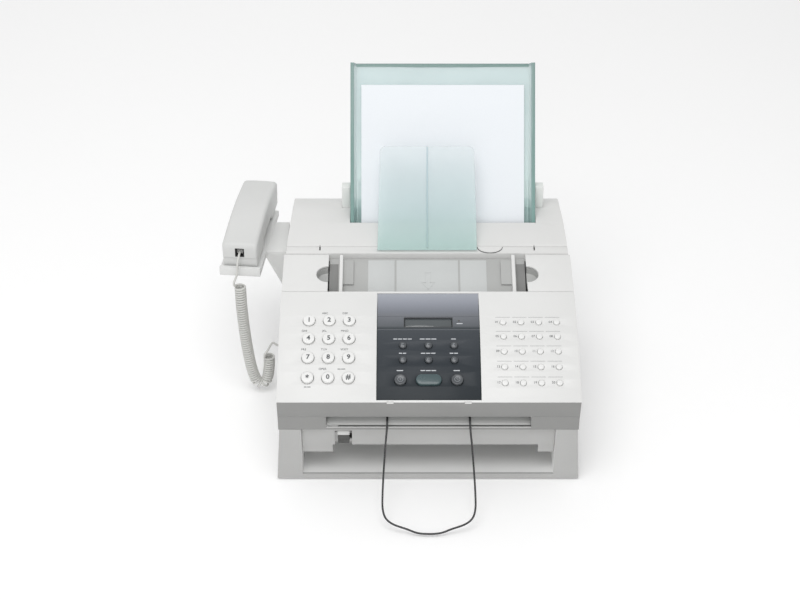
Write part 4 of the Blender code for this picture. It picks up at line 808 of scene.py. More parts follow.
def makeRearCover():
    low, high = nodeBox("rear_cover")
    half = (high.x - low.x) / 2
    bottom = coverSizes["bottomZ"]
    outline = coverTop(fine=4) + [(high.y, bottom), (low.y, bottom)]
    cover = single("rearCover", addPrism, outline, -half, half)
    weights = cover.data.attributes.new("bevel_weight_edge", "FLOAT", "EDGE")
    for edge in cover.data.edges:
        a, b = (cover.data.vertices[i].co - home for i in edge.vertices)
        onEnd = abs(a.x - b.x) < 1e-6
        isHigh = min(a.z, b.z) > bottom + 0.02 and a.y > low.y + 0.0102 and b.y > low.y + 0.0102
        weights.data[edge.index].value = 1.0 if onEnd and isHigh else 0.0
    round1 = cover.modifiers.new("roundedEnds", "BEVEL")
    round1.width = coverSizes["endRounding"]
    round1.segments = 7
    round1.limit_method = "WEIGHT"
    applied(cover)
    for vertex in cover.data.vertices:      # ends close in towards the crown
        y = vertex.co.y - home.y
        nearTop = min(1.0, max(0.0, (vertex.co.z - home.z - bottom - 0.02) / 0.05))
        run = coverSizes["crownY"] - coverSizes["frontY"]
        back = min(1.0, max(0.0, (y - coverSizes["frontY"]) / run))
        side = 1.0 if vertex.co.x > home.x else -1.0
        vertex.co.x -= side * coverSizes["endShear"] * back * nearTop
    wall = coverSizes["wall"]
    inner = coverTop(wall, 4) + [(high.y - wall, bottom - 0.02), (low.y + wall, bottom - 0.02)]
    inside = single("cutInside", addPrism, inner, -half + wall + 0.0165, half - wall - 0.0165)
    trayLow, trayHigh = nodeBox("paper_tray")
    traySlot = single("cutTraySlot", addBox, (trayLow.x - 0.0006, coverSizes["traySlot"][0], 0.193),
                      (trayHigh.x + 0.0006, coverSizes["traySlot"][1], 0.258))
    frameLow, frameHigh = nodeBox("hopper_frame")
    bm = bmesh.new()
    addBox(bm, (frameLow.x - 0.0004, 0.2871, 0.180), (frameLow.x + 0.0114, 0.3009, 0.250))
    addBox(bm, (frameHigh.x - 0.0114, 0.2871, 0.180), (frameHigh.x + 0.0004, 0.3009, 0.250))
    postHoles = fromBmesh("cutPostHoles", bm)
    paperPath = single("cutPaperPath", addBox, (-0.128, 0.201, bottom - 0.01),
                       (0.148, low.y + wall + 0.002, 0.186))
    bm = bmesh.new()      # crease across the front of the arch, and a snap mark near each end
    crease = coverSizes["creaseY"]
    addBox(bm, (-half - 0.01, crease - 0.0004, topZ(crease) - 0.0006), (half + 0.01, crease + 0.0004, 0.24))
    creaseTool = fromBmesh("cutCrease", bm)
    bm = bmesh.new()
    for side in (-1, 1):
        x = side * coverSizes["tickX"]
        addBox(bm, (x - 0.0009, crease - 0.0050, topZ(crease) - 0.006), (x + 0.0009, crease + 0.0022, 0.24))
    ticks = fromBmesh("cutTicks", bm)
    # the document rest stands in a narrow slot
    restFront, restBack = coverSizes["restSlot"]
    restSlot = single("cutRestSlot", addBox, (-0.0656, restFront, 0.2066), (0.0656, restBack, 0.24))
    louvres = barRowObject("cutLouvres", {"Count": coverSizes["louvres"], "Pitch": 0.0092,
                                          "Bar Width": 0.0034,
                                          "Bar Length": 0.022, "Bar Height": 0.012}, "darkPlastic",
                           Matrix.Translation((-0.0736, high.y, 0.1690))
                           @ Matrix.Rotation(math.pi / 2, 4, "X"))
    cutWith(cover, inside, traySlot, postHoles, paperPath, creaseTool, ticks, restSlot, louvres)
    soften(cover, 0.0006, 2, 40.0)
    place(cover, "chassis", "shellWhite", ("rear_cover",))

    for name, grow, low1, high1, material in (("tabShadow", 0.0007, 0.0001, 0.00035, "darkPlastic"),
                                              ("thumbTab", 0.0, 0.0004, 0.0013, "shellWhite")):
        bm = bmesh.new()      # half-moon thumb tab on the cover's front edge
        arc = [(coverSizes["tabX"] + (coverSizes["tabHalf"] + grow) * math.cos(a),
                0.2196 - (0.0076 + grow) * math.sin(a)) for a in (math.pi * i / 24 for i in range(25))]
        addLoft(bm, [[Vector((x, y, topZ(y) + z)) for x, y in arc] for z in (low1, high1)])
        place(fromBmesh(name, bm), "chassis", material)

    posts = nodeCopy("hopper_frame", "hopperPosts")
    soften(posts, 0.0016, 3)
    place(posts, "chassis", "postGrey", ("hopper_frame",))


makeRearCover()
print("base, flap, lever and rear cover done")


# upper unit: wings, walls and document deck
unitSizes = {"legTop": 0.0805, "seamRear": 0.150, "bandBottom": 0.1015, "skirtRear": 0.176,
             "panelRearY": 0.142, "panelRearZ": 0.192, "wingRearY": 0.211, "wingRearZ": 0.204,
             "deckHalf": 0.128, "wall": 0.0025, "slotHalf": 0.127, "slotLip": 0.0035,
             "scoopRadius": 0.015, "scoopY": 0.1744, "plateHalf": 0.0768, "fenceWide": 0.0042,
             "fenceFront": 0.1500, "fenceHigh": 0.0096, "plateEnds": (0.1325, 0.2056), "grooveX": 0.0412}


def seamZ(y):
    return unitSizes["legTop"] + (unitSizes["seamRear"] - unitSizes["legTop"]) * y / unitSizes["wingRearY"]


def skirtZ(y):
    climb = unitSizes["skirtRear"] - unitSizes["bandBottom"]
    return unitSizes["bandBottom"] + climb * y / unitSizes["panelRearY"]


def deckZ(y):
    knots = ((0.0, 0.0855), (0.030, skirtZ(0.030) - 0.0090), (0.080, skirtZ(0.080) - 0.0085),
             (0.142, 0.1705), (0.211, 0.2005))
    for (ya, za), (yb, zb) in zip(knots, knots[1:]):
        if y <= yb:
            return za + (zb - za) * (y - ya) / (yb - ya)
    return knots[-1][1]


def makeUpperHousing():
    u = unitSizes
    gap, wall, half = 0.0004, u["wall"], halfWidth
    rear, front = u["wingRearY"], u["panelRearY"]
    outline = [(0.0, seamZ(0.0) + gap), (rear, seamZ(rear) + gap), (rear, u["wingRearZ"]),
               (front + gap * 2, u["panelRearZ"]), (front + gap * 2, skirtZ(front) - gap),
               (0.0, skirtZ(0.0) - gap)]
    housing = single("upperHousing", addPrism, outline, -half, half)
    inside = [(wall, 0.0), (rear - wall, 0.0), (rear - wall, u["wingRearZ"] - wall),
              (front + wall, u["panelRearZ"] - wall), (front + wall, skirtZ(front) + 0.002),
              (front - 0.002, skirtZ(front) + 0.002), (front - 0.002, 0.22), (wall, 0.22)]
    tools = []
    tools.append(single("cutInside", addPrism, inside, -half + wall, half - wall))
    tools.append(single("cutDeckWell", addBox, (-u["deckHalf"], front - 0.01, 0.10),
                        (u["deckHalf"], rear - wall - 0.0005, 0.25)))
    bm = bmesh.new()
    addBox(bm, (-u["deckHalf"], rear - wall - 0.01, 0.14), (u["deckHalf"], rear + 0.01, 0.184))
    addBox(bm, (-u["deckHalf"], rear - wall - 0.01, 0.1962), (u["deckHalf"], rear + 0.01, 0.214))
    tools.append(fromBmesh("cutRearWall", bm))
    tools.append(single("cutExitSlot", addBox, (-u["slotHalf"], -0.01, u["legTop"] + u["slotLip"]),
                        (u["slotHalf"], 0.012, 0.15)))
    bm = bmesh.new()
    for side in (-1, 1):
        addLathe(bm, ((u["scoopRadius"], 0.0), (u["scoopRadius"], 0.05)), 64,
                 Matrix.Translation((side * (u["deckHalf"] + 0.0002), u["scoopY"], 0.170)))
    tools.append(fromBmesh("cutScoops", bm))
    cutWith(housing, *tools)
    soften(housing, 0.0008, 3, 40.0)
    # the lip above the exit slot continues the panel's band; its front faces take the darker grey, partly
    # own colour and partly painted shade where they face away from the light above
    twoFinishes(housing, ("panelWhite", "bandGreyAndPaintedShade"), lambda centre, face:
                centre.z < 0.107 and centre.y < 0.012 and face.normal.z < 0.7)
    place(housing, "upper_unit", "panelWhite", ("upper_housing",))

    bm = bmesh.new()      # finger wells under the scoops: a thin dished cup on each side
    for side in (-1, 1):
        centre = Vector((side * (u["deckHalf"] + 0.0002), u["scoopY"], 0.0))
        rings = []
        count = 28
        for radius, drop in ((0.0149, 0.0), (0.0149, 0.0085), (0.0120, 0.0105), (0.0005, 0.0110)):
            ring = []
            for i in range(count + 1):
                a = -math.pi / 2 + math.pi * i / count
                x = centre.x + side * max(0.0004, radius * math.cos(a))
                y = centre.y + radius * math.sin(a)
                top = u["panelRearZ"] + (y - front) * (u["wingRearZ"] - u["panelRearZ"]) / (rear - front)
                ring.append(Vector((x, y, top - 0.0030 - drop)))
            rings.append(ring)
        skin = [[bm.verts.new(p) for p in ring] for ring in rings]
        for lower, upper in zip(skin, skin[1:]):
            for i in range(count):
                bm.faces.new((lower[i], lower[i + 1], upper[i + 1], upper[i]))
    cups = fromBmesh("scoopCups", bm)
    thick = cups.modifiers.new("wall", "SOLIDIFY")
    thick.thickness = 0.0008
    thick.offset = 0.0
    applied(cups)
    place(cups, "upper_unit", "channelGrey")


makeUpperHousing()


def makeDeck():
    u = unitSizes
    deck = nodeCopy("feed_deck", "documentDeck")
    soften(deck, 0.0005, 2)
    place(deck, "upper_unit", "channelGrey", ("feed_deck",))
    # raised middle plate with rolled edges, two grooves and a feed arrow
    y0, y1 = u["plateEnds"]
    rise = 0.0004
    ys = [y0 + (y1 - y0) * i / 10 for i in range(11)]
    outline = [(y, deckZ(y) + 0.0001) for y in ys] + [(y, deckZ(y) + rise) for y in reversed(ys)]
    plate = single("deckPlate", addPrism, outline, -u["plateHalf"], u["plateHalf"])
    bm = bmesh.new()
    for side in (-1, 1):
        x = side * u["grooveX"]
        groove = [(y, deckZ(y) + 0.00015) for y in (y0 - 0.01, 0.142, y1 + 0.01)]
        addPrism(bm, groove + [(y1 + 0.01, 0.25), (y0 - 0.01, 0.25)], x - 0.0012, x + 0.0012)
    cutWith(plate, fromBmesh("cutGrooves", bm))
    soften(plate, 0.0003, 2)
    place(plate, "upper_unit", "deckGrey")

    bm = bmesh.new()
    tilt = math.atan2(deckZ(0.211) - deckZ(0.142), 0.069)
    marks = (Matrix.Translation((0.001, 0.1750, deckZ(0.1750) + rise)) @ Matrix.Rotation(tilt, 4, "X"))
    stroke = 0.0009
    arrow = [((-0.0032, 0.0140), (-0.0032, -0.0010)), ((-0.0032, -0.0010), (-0.0085, -0.0010)),
             ((-0.0085, -0.0010), (0.0, -0.0115)), ((0.0, -0.0115), (0.0085, -0.0010)),
             ((0.0085, -0.0010), (0.0032, -0.0010)), ((0.0032, -0.0010), (0.0032, 0.0140)),
             ((0.0032, 0.0140), (-0.0032, 0.0140))]
    for (xa, ya), (xb, yb) in arrow:
        run = Vector((xb - xa, yb - ya, 0))
        turn = Matrix.Rotation(math.atan2(run.y, run.x), 4, "Z")
        bar = marks @ Matrix.Translation((xa, ya, 0)) @ turn
        addBox(bm, (-stroke / 2, -stroke / 2, 0.0), (run.length + stroke / 2, stroke / 2, 0.00035), bar)
    place(fromBmesh("feedArrow", bm), "upper_unit", "deckGrey")
    ribs = barRowObject("deckRibs", {"Count": 13, "Pitch": 0.0180, "Bar Width": 0.0014, "Bar Length": 0.058,
                                     "Bar Height": 0.0008}, "channelGrey",
                        Matrix.Translation((-0.108, 0.0530, deckZ(0.0530) + 0.0004))
                        @ Matrix.Rotation(math.atan2(deckZ(0.080) - deckZ(0.030), 0.050), 4, "X"))
    soften(ribs, 0.0002, 1)
    place(ribs, "upper_unit", "channelGrey")

    bm = bmesh.new()      # dark strips beside the wings: painted shade of the channel floor between wing and guide
    ys = [0.1450, 0.1600, 0.1800, 0.2000]
    strip = [(y, deckZ(y) + 0.00005) for y in ys] + [(y, deckZ(y) + 0.00035) for y in reversed(ys)]
    for side in (-1, 1):
        addPrism(bm, strip, min(side * 0.1268, side * 0.1155), max(side * 0.1268, side * 0.1155))
    place(fromBmesh("channelShadeStrips", bm), "upper_unit", "paintedChannelShade")

    bm = bmesh.new()      # dark strip low in the gap behind the panel, on each wing: painted shadow in the seam
    for side in (-1, 1):
        x0, x1 = sorted((side * (halfWidth - 0.0010), side * (u["deckHalf"] + 0.0008)))
        addBox(bm, (x0, u["panelRearY"] + 0.0001, u["panelRearZ"] - 0.0040),
               (x1, u["panelRearY"] + 0.0007, u["panelRearZ"] - 0.0005))
    place(fromBmesh("gapPaintedShadow", bm), "upper_unit", "rubberBlack")

    for node, name in (("guide_left", "guideLeft"), ("guide_right", "guideRight")):
        low, high = nodeBox(node)
        left = node == "guide_left"
        fence = (low.x, low.x + u["fenceWide"]) if left else (high.x - u["fenceWide"], high.x)
        foot = (fence[0] + 0.001, high.x) if left else (low.x, fence[1] - 0.001)
        lift, front, back = 0.0006, u["fenceFront"], high.y
        fenceSide = [(front, deckZ(front) + lift), (back, deckZ(back) + lift),
                     (back, deckZ(back) + u["fenceHigh"]), (front, deckZ(front) + u["fenceHigh"] + 0.0030)]
        guide = single(name, addPrism, fenceSide, *fence)
        footSide = [(y, deckZ(y) + z) for y, z in ((0.170, 0.0008), (0.204, 0.0008), (0.204, 0.0022),
                                                   (0.170, 0.0022))]
        cutWith(guide, single("guideFoot", addPrism, footSide, *foot), join=True)
        soften(guide, 0.0006, 3)
        # the low foot matches the deck
        twoFinishes(guide, ("panelWhite", "channelGrey"), lambda centre, _face:
                    centre.z < deckZ(centre.y) + 0.0026)
        place(guide, bodyOf(node), "panelWhite", (node,))


makeDeck()
print("upper unit done")


# operation panel
panelSizes = {"overhang": 0.006, "depth": 0.148, "rise": 0.0642, "frontZ": 0.1278, "bulge": 0.0077,
              "wall": 0.0025, "margin": 0.0033, "fasciaHalf": 0.0638, "sink": 0.0006, "keyGap": 0.0006,
              "arcSteps": 36, "window": (0.1053, 0.1188), "windowHalf": 0.0297}
keySizes = {"numberRadius": 0.0075, "numberProud": 0.0030, "numberColumn": 0.0252, "numberRow": 0.0272,
            "numberFirst": 0.0319, "touchRadius": 0.0038, "touchProud": 0.0018, "touchPitch": 0.0224,
            "touchRow": 0.0215, "touchFirst": 0.0254, "smallRadius": 0.0046, "smallProud": 0.0022,
            "smallPitch": 0.0318, "smallRows": (0.0770, 0.0565), "largeRadius": 0.0074,
            "largeOffset": 0.0350, "largeRow": 0.0295, "startLength": 0.0318, "flange": 0.0012,
            "flangeDepth": 0.0060, "sides": 48}

chord = math.hypot(panelSizes["depth"], panelSizes["rise"])
slope = math.atan2(panelSizes["rise"], panelSizes["depth"])
arcRadius = (chord * chord / 4 + panelSizes["bulge"] ** 2) / (2 * panelSizes["bulge"])
arcHalf = math.asin(chord / 2 / arcRadius)
arcLength = 2 * arcHalf * arcRadius
panelNormal = Vector((0.0, -math.sin(slope), math.cos(slope)))
arcCentre = (Vector((0.0, (panelSizes["depth"] - 2 * panelSizes["overhang"]) / 2,
                     panelSizes["frontZ"] + panelSizes["rise"] / 2))
             - panelNormal * (arcRadius - panelSizes["bulge"]))
panelRear = (unitSizes["panelRearY"], unitSizes["panelRearZ"])


# point on the panel's skin, a distance along its arc from the front edge
def onPanel(along, x=0.0, sunk=0.0):
    angle = math.pi / 2 + slope + arcHalf - along / arcRadius
    radius = arcRadius - sunk
    return Vector((x, arcCentre.y + radius * math.cos(angle), arcCentre.z + radius * math.sin(angle)))


def panelArc(start, end, steps, sunk=0.0):
    points = [onPanel(start + (end - start) * i / steps, sunk=sunk) for i in range(steps + 1)]
    return [(p.y, p.z) for p in points]


# frame that lies flat on the skin, X to the right, Y up the panel
def flushMatrix(along, x=0.0, sunk=0.0):
    tilt = slope + arcHalf - along / arcRadius
    return Matrix.Translation(onPanel(along, x, sunk)) @ Matrix.Rotation(tilt, 4, "X")


# a key's own frame: Z is its direction of travel
def keyMatrix(along, x=0.0):
    return Matrix.Translation(onPanel(along, x)) @ Matrix.Rotation(slope, 4, "X")


def numberPlaces():
    rows = ("*0#", "789", "456", "123")
    middle = -(panelSizes["fasciaHalf"] + halfWidth) / 2 + 0.0010
    names = {"*": "key_star", "#": "key_hash"}
    places = []
    for r, row in enumerate(rows):
        for c, sign in enumerate(row):
            places.append((names.get(sign, "key_" + sign), sign,
                           middle + (c - 1) * keySizes["numberColumn"],
                           keySizes["numberFirst"] + r * keySizes["numberRow"]))
    return places


def touchColumns():
    middle = (panelSizes["fasciaHalf"] + halfWidth) / 2 + 0.0022
    return [middle + (c - 1.5) * keySizes["touchPitch"] for c in range(4)]


def touchRows():
    return [keySizes["touchFirst"] + r * keySizes["touchRow"] for r in range(5)]


def smallPlaces():
    return [(f"function_key_{r * 3 + c + 1}", (c - 1) * keySizes["smallPitch"], along)
            for r, along in enumerate(keySizes["smallRows"]) for c in range(3)]


def pillRing(length, radius, z, matrix, steps=16):
    half = length / 2 - radius
    ring = []
    for centre, start in ((half, -math.pi / 2), (-half, math.pi / 2)):
        for i in range(steps + 1):
            a = start + math.pi * i / steps
            ring.append(matrix @ Vector((centre + radius * math.cos(a), radius * math.sin(a), z)))
    return ring


# flat raised print: a text turned into a plain mesh and laid on the matrix's XY plane
def letters(text, size, thick, matrix, heavy=0.0):
    font = bpy.data.curves.new("print", "FONT")
    font.body = text
    font.size = size
    font.extrude = thick / 2
    font.align_x = "CENTER"
    font.align_y = "CENTER"
    font.resolution_u = 3
    font.offset = heavy
    holder = newObject("print", font)
    bpy.context.view_layer.update()
    graph = bpy.context.evaluated_depsgraph_get()
    mesh = bpy.data.meshes.new_from_object(holder.evaluated_get(graph))
    bpy.data.objects.remove(holder, do_unlink=True)
    mesh.transform(matrix @ Matrix.Translation((0.0, 0.0, thick / 2)))
    return mesh


# one mesh object from several meshes drawn in machine coordinates
def gathered(name, meshes):
    bm = bmesh.new()
    for mesh in meshes:
        bm.from_mesh(mesh)
        bpy.data.meshes.remove(mesh)
    bmesh.ops.remove_doubles(bm, verts=bm.verts, dist=1e-7)
    bm.transform(Matrix.Translation(home))
    result = bpy.data.meshes.new(name)
    bm.to_mesh(result)
    bm.free()
    return newObject(name, result)


def makePanel():
    p, k = panelSizes, keySizes
    steps = p["arcSteps"]
    bandZ, skirtRear = unitSizes["bandBottom"], unitSizes["skirtRear"]
    outline = [(-0.0005, bandZ)] + panelArc(0.0, arcLength, steps) + [(panelRear[0], skirtRear)]
    shell = single("controlPanel", addPrism, outline, -halfWidth, halfWidth)
    inside = ([(p["wall"] - 0.0005, bandZ - 0.005)]
              + panelArc(p["wall"] * 1.6, arcLength - p["wall"], steps, sunk=p["wall"])
              + [(panelRear[0] - p["wall"], skirtRear - 0.01)])
    tools = [single("cutInside", addPrism, inside, -halfWidth + p["wall"], halfWidth - p["wall"])]
    tools.append(single("cutPaperWay", addBox, (-0.128, panelRear[0] - p["wall"] - 0.002,
                                                skirtRear - 0.01), (0.128, panelRear[0] + 0.01,
                                                                    panelRear[1] - 0.0035)))
    start, end = p["margin"] - 0.0004, arcLength - p["margin"] + 0.0004
    opening = panelArc(start, end, steps, sunk=-0.004) + list(reversed(panelArc(start, end, steps,
                                                                                sunk=0.006)))
    half = p["fasciaHalf"] + 0.0007
    tools.append(single("cutFascia", addPrism, opening, -half, half))
    bm = bmesh.new()
    for _node, _sign, x, along in numberPlaces():
        radius = k["numberRadius"] + p["keyGap"]
        addLathe(bm, ((radius, -0.012), (radius, 0.008)), k["sides"], keyMatrix(along, x))
    for along in touchRows():
        for x in touchColumns():
            radius = k["touchRadius"] + p["keyGap"] * 0.8
            addLathe(bm, ((radius, -0.012), (radius, 0.008)), 32, keyMatrix(along, x))
    tools.append(fromBmesh("cutKeyHoles", bm))
    bm = bmesh.new()      # two small release notches in the strip under the fascia
    for x in (-0.0475, 0.0480):
        addBox(bm, (x - 0.0042, -0.0012, -0.0022), (x + 0.0042, 0.0014, 0.004), flushMatrix(0.0))
    tools.append(fromBmesh("cutNotches", bm))
    cutWith(shell, *tools)
    soften(shell, 0.0005, 2, 40.0)
    bandTop = p["frontZ"] - 0.0006
    # the band's front faces take the darker grey: partly own colour, partly painted shade
    twoFinishes(shell, ("panelWhite", "bandGreyAndPaintedShade"), lambda centre, face:
                centre.z < bandTop and centre.y < 0.0 and face.normal.z < 0.7)
    place(shell, "panel", "panelWhite", ("control_panel",))

    bm = bmesh.new()      # collar that stands round each number key
    for _node, _sign, x, along in numberPlaces():
        frame4 = flushMatrix(along, x)
        rings = []
        for radius, z in ((0.00845, -0.0004), (0.00905, 0.00005), (0.00900, 0.00028), (0.00868, 0.00040),
                          (0.00835, 0.00030), (0.00820, -0.0004)):
            rings.append(circleRing(frame4, radius, z, 48))
        addLoft(bm, rings, closeRing=True)
    place(fromBmesh("keyCollars", bm), "panel", "panelWhite")


makePanel()


def makeFascia():
    p, k = panelSizes, keySizes
    half = p["fasciaHalf"]
    start, end = p["margin"], arcLength - p["margin"]
    steps = p["arcSteps"]
    outline = (panelArc(start, end, steps, sunk=p["sink"])
               + list(reversed(panelArc(start, end, steps, sunk=p["sink"] + 0.0025))))
    plate = single("fasciaPlate", addPrism, outline, -half, half)
    windowStart, windowEnd = p["window"]
    bm = bmesh.new()
    window = (panelArc(windowStart, windowEnd, 2, sunk=-0.004)
              + list(reversed(panelArc(windowStart, windowEnd, 2, sunk=0.008))))
    addPrism(bm, window, -p["windowHalf"], p["windowHalf"])
    tools = [fromBmesh("cutWindow", bm)]
    bm = bmesh.new()
    for _node, x, along in smallPlaces():
        addLathe(bm, ((k["smallRadius"] + 0.0005, -0.012), (k["smallRadius"] + 0.0005, 0.008)), 36,
                 keyMatrix(along, x))
    for x in (-k["largeOffset"], k["largeOffset"]):
        addLathe(bm, ((k["largeRadius"] + 0.0005, -0.012), (k["largeRadius"] + 0.0005, 0.008)), 48,
                 keyMatrix(k["largeRow"], x))
    pill = keyMatrix(k["largeRow"])
    addLoft(bm, [pillRing(k["startLength"] + 0.001, k["largeRadius"] + 0.0005, z, pill)
                 for z in (-0.012, 0.008)])
    lamp = keyMatrix(0.1145, 0.0385)
    addLathe(bm, ((0.0011, -0.012), (0.0011, 0.008)), 24, lamp)
    tools.append(fromBmesh("cutKeyHoles", bm))
    bm = bmesh.new()      # step below the window, shallow line above it
    for along, wide, deep in ((0.1016, 0.00045, 0.0005), (0.1212, 0.00035, 0.0003)):
        addBox(bm, (-half - 0.01, -wide, -deep), (half + 0.01, wide, 0.004),
               flushMatrix(along, 0.0, p["sink"]))
    tools.append(fromBmesh("cutLines", bm))
    cutWith(plate, *tools)
    soften(plate, 0.00035, 2, 40.0)
    plate.data.materials.clear()
    rearY, frontY = onPanel(end).y + home.y, onPanel(start).y + home.y
    # tint stops from front to rear; the climb to silver is partly own colour, partly painted reflection
    stops = [(0.0, (0.022, 0.028, 0.033)), (0.30, (0.031, 0.038, 0.046)), (0.58, (0.058, 0.066, 0.076)),
             (0.632, (0.070, 0.079, 0.086)), (0.645, (0.120, 0.130, 0.142)), (0.76, (0.185, 0.195, 0.215)),
             (0.80, (0.215, 0.228, 0.258)), (0.90, (0.315, 0.330, 0.375)), (1.0, (0.400, 0.420, 0.465))]
    finish["fasciaTintAndPaintedReflection"] = alongPanel("fasciaTintAndPaintedReflection", {"span": (frontY, rearY), "stops": stops})
    place(plate, "panel", "fasciaTintAndPaintedReflection", ("fascia",))

    # ridge just in front of the step
    place(single("fasciaRidge", addBox, (-half + 0.0004, -0.0004, 0.0), (half - 0.0004, 0.0004, 0.00022),
                 flushMatrix(0.1006, 0.0, p["sink"])), "panel", "ridgeGrey")

    # display window: bezel lip, recessed field and its clear cover in one stack
    glassLow = panelArc(windowStart + 0.0004, windowEnd - 0.0004, 2, sunk=p["sink"] + 0.0016)
    glassHigh = panelArc(windowStart + 0.0004, windowEnd - 0.0004, 2, sunk=p["sink"] + 0.0050)
    glass = soften(single("displayWindow", addPrism, glassLow + list(reversed(glassHigh)), -0.0293,
                          0.0293), 0.0003, 2)
    place(glass, "panel", "displayField", ("display_window",))
    bm = bmesh.new()
    wide = p["windowHalf"]
    rim = [(-wide, windowStart), (wide, windowStart), (wide, windowEnd), (-wide, windowEnd)]
    rings = []
    for grow, lift in ((0.0, -0.0010), (0.0, 0.00015), (0.0007, 0.00022), (0.0011, -0.0001)):
        ring = []
        for x, along in rim:
            wider = x + math.copysign(grow, x)
            further = along + (grow if along > 0.11 else -grow)
            ring.append(onPanel(further, wider, p["sink"] - lift))
        rings.append(ring)
    addLoft(bm, rings, closeRing=True)
    place(soften(fromBmesh("displayBezel", bm), 0.00015, 1), "panel", "darkPlastic")
    place(single("statusLamp", addLathe, ((0.0009, -0.0032), (0.0009, -0.0007), (0.0006, -0.0003),
                                          (0.0002, -0.0002)), 24, lamp), "panel", "lampAmber")


makeFascia()


# profile of a turned key cap on its flange
def domedKey(radius, proud, rim=0.0010, dish=0.0):
    k = keySizes
    profile = [(radius + k["flange"], -k["flangeDepth"] - 0.0010),
               (radius + k["flange"], -k["flangeDepth"]),
               (radius, -k["flangeDepth"]), (radius, proud - rim)]
    for i in range(1, 6):
        a = math.pi / 2 * i / 5
        profile.append((radius - rim * (1 - math.cos(a)), proud - rim + rim * math.sin(a)))
    profile += [(radius * 0.55, proud + 0.00012 - dish * 0.7), (radius * 0.2, proud + 0.00016 - dish)]
    return profile


def makeKeys():
    k = keySizes
    for node, sign, x, along in numberPlaces():
        bm = bmesh.new()
        addLathe(bm, domedKey(k["numberRadius"], k["numberProud"]), k["sides"], keyMatrix(along, x))
        cap = bpy.data.meshes.new("cap")
        bmesh.ops.recalc_face_normals(bm, faces=bm.faces)
        bm.to_mesh(cap)
        bm.free()
        caps = len(cap.polygons)
        size = 0.0088 if sign in "0123456789" else 0.0100
        drop = -0.0012 if sign == "*" else 0.0
        digit = letters(sign, size, 0.00030, keyMatrix(along, x)
                        @ Matrix.Translation((0.0, drop, k["numberProud"] + 0.00008)), 0.00022)
        key = gathered("numberKey" + node[3:].replace("_", " ").title().replace(" ", ""), [cap, digit])
        key.data.materials.append(finish["keyWhite"])
        key.data.materials.append(finish["printDark"])
        for face in key.data.polygons:
            face.material_index = 0 if face.index < caps else 1
        place(key, node, "keyWhite", (node,))
    for node, x, along in smallPlaces():
        place(single("functionKey" + node[-1], addLathe,
                     domedKey(k["smallRadius"], k["smallProud"], 0.0016), 36, keyMatrix(along, x)), node,
              "keyDark", (node,))
    for node, x in (("round_key_left", -k["largeOffset"]), ("round_key_right", k["largeOffset"])):
        place(single("roundKey" + node[10:].title(), addLathe,
                     domedKey(k["largeRadius"], k["smallProud"], 0.0011, 0.0007), 48,
                     keyMatrix(k["largeRow"], x)), node, "keyDark", (node,))
    pill = keyMatrix(k["largeRow"])
    length, radius, proud = k["startLength"], k["largeRadius"], k["smallProud"]
    rings = [pillRing(length + 2 * k["flange"], radius + k["flange"], z, pill) for z in (-0.0070, -0.0060)]
    rings.append(pillRing(length, radius, -0.0060, pill))
    for i in range(6):
        a = math.pi / 2 * i / 5
        inset = 0.0012 * (1 - math.cos(a))
        rings.append(pillRing(length - 2 * inset, radius - inset, proud - 0.0012 + 0.0012 * math.sin(a),
                              pill))
    rings.append(pillRing(length - 0.0070, radius - 0.0035, proud + 0.00015, pill))
    place(single("startKey", addLoft, rings), "start_key", "startGreen", ("start_key",))
    for r, along in enumerate(reversed(touchRows())):
        bm = bmesh.new()
        columns = touchColumns()
        addBox(bm, (columns[0] - 0.005, -0.0040, -0.0072), (columns[-1] + 0.005, 0.0040, -0.0060),
               Matrix.Translation(onPanel(along)) @ Matrix.Rotation(slope, 4, "X"))
        row = fromBmesh(f"oneTouchRow{r + 1}", bm)
        for x in columns:
            bm = bmesh.new()
            radius, proud = k["touchRadius"], k["touchProud"]
            profile = [(radius, -0.0066), (radius, proud - 0.0012)]
            profile += [(radius - 0.0012 * (1 - math.cos(a)), proud - 0.0012 + 0.0012 * math.sin(a))
                        for a in (math.pi / 2 * i / 5 for i in range(1, 6))]
            profile.append((radius * 0.3, proud + 0.00015))
            addLathe(bm, profile, 32, keyMatrix(along, x))
            cutWith(row, fromBmesh("touchCap", bm), join=True)
        row.data.materials.clear()
        place(row, f"one_touch_row_{r + 1}", "keyWhite", (f"one_touch_row_{r + 1}",))


makeKeys()


# a row of short bars, broken like words, centred on x
def addWordBars(bm, x, total, matrix, word=0.0065, space=0.0010):
    cuts = max(1, round(total / word))
    for i in range(cuts):
        x0 = x - total / 2 + total * i / cuts
        addBox(bm, (x0, -0.00062, 0.0), (x0 + total / cuts - space, 0.00062, 0.00010), matrix)


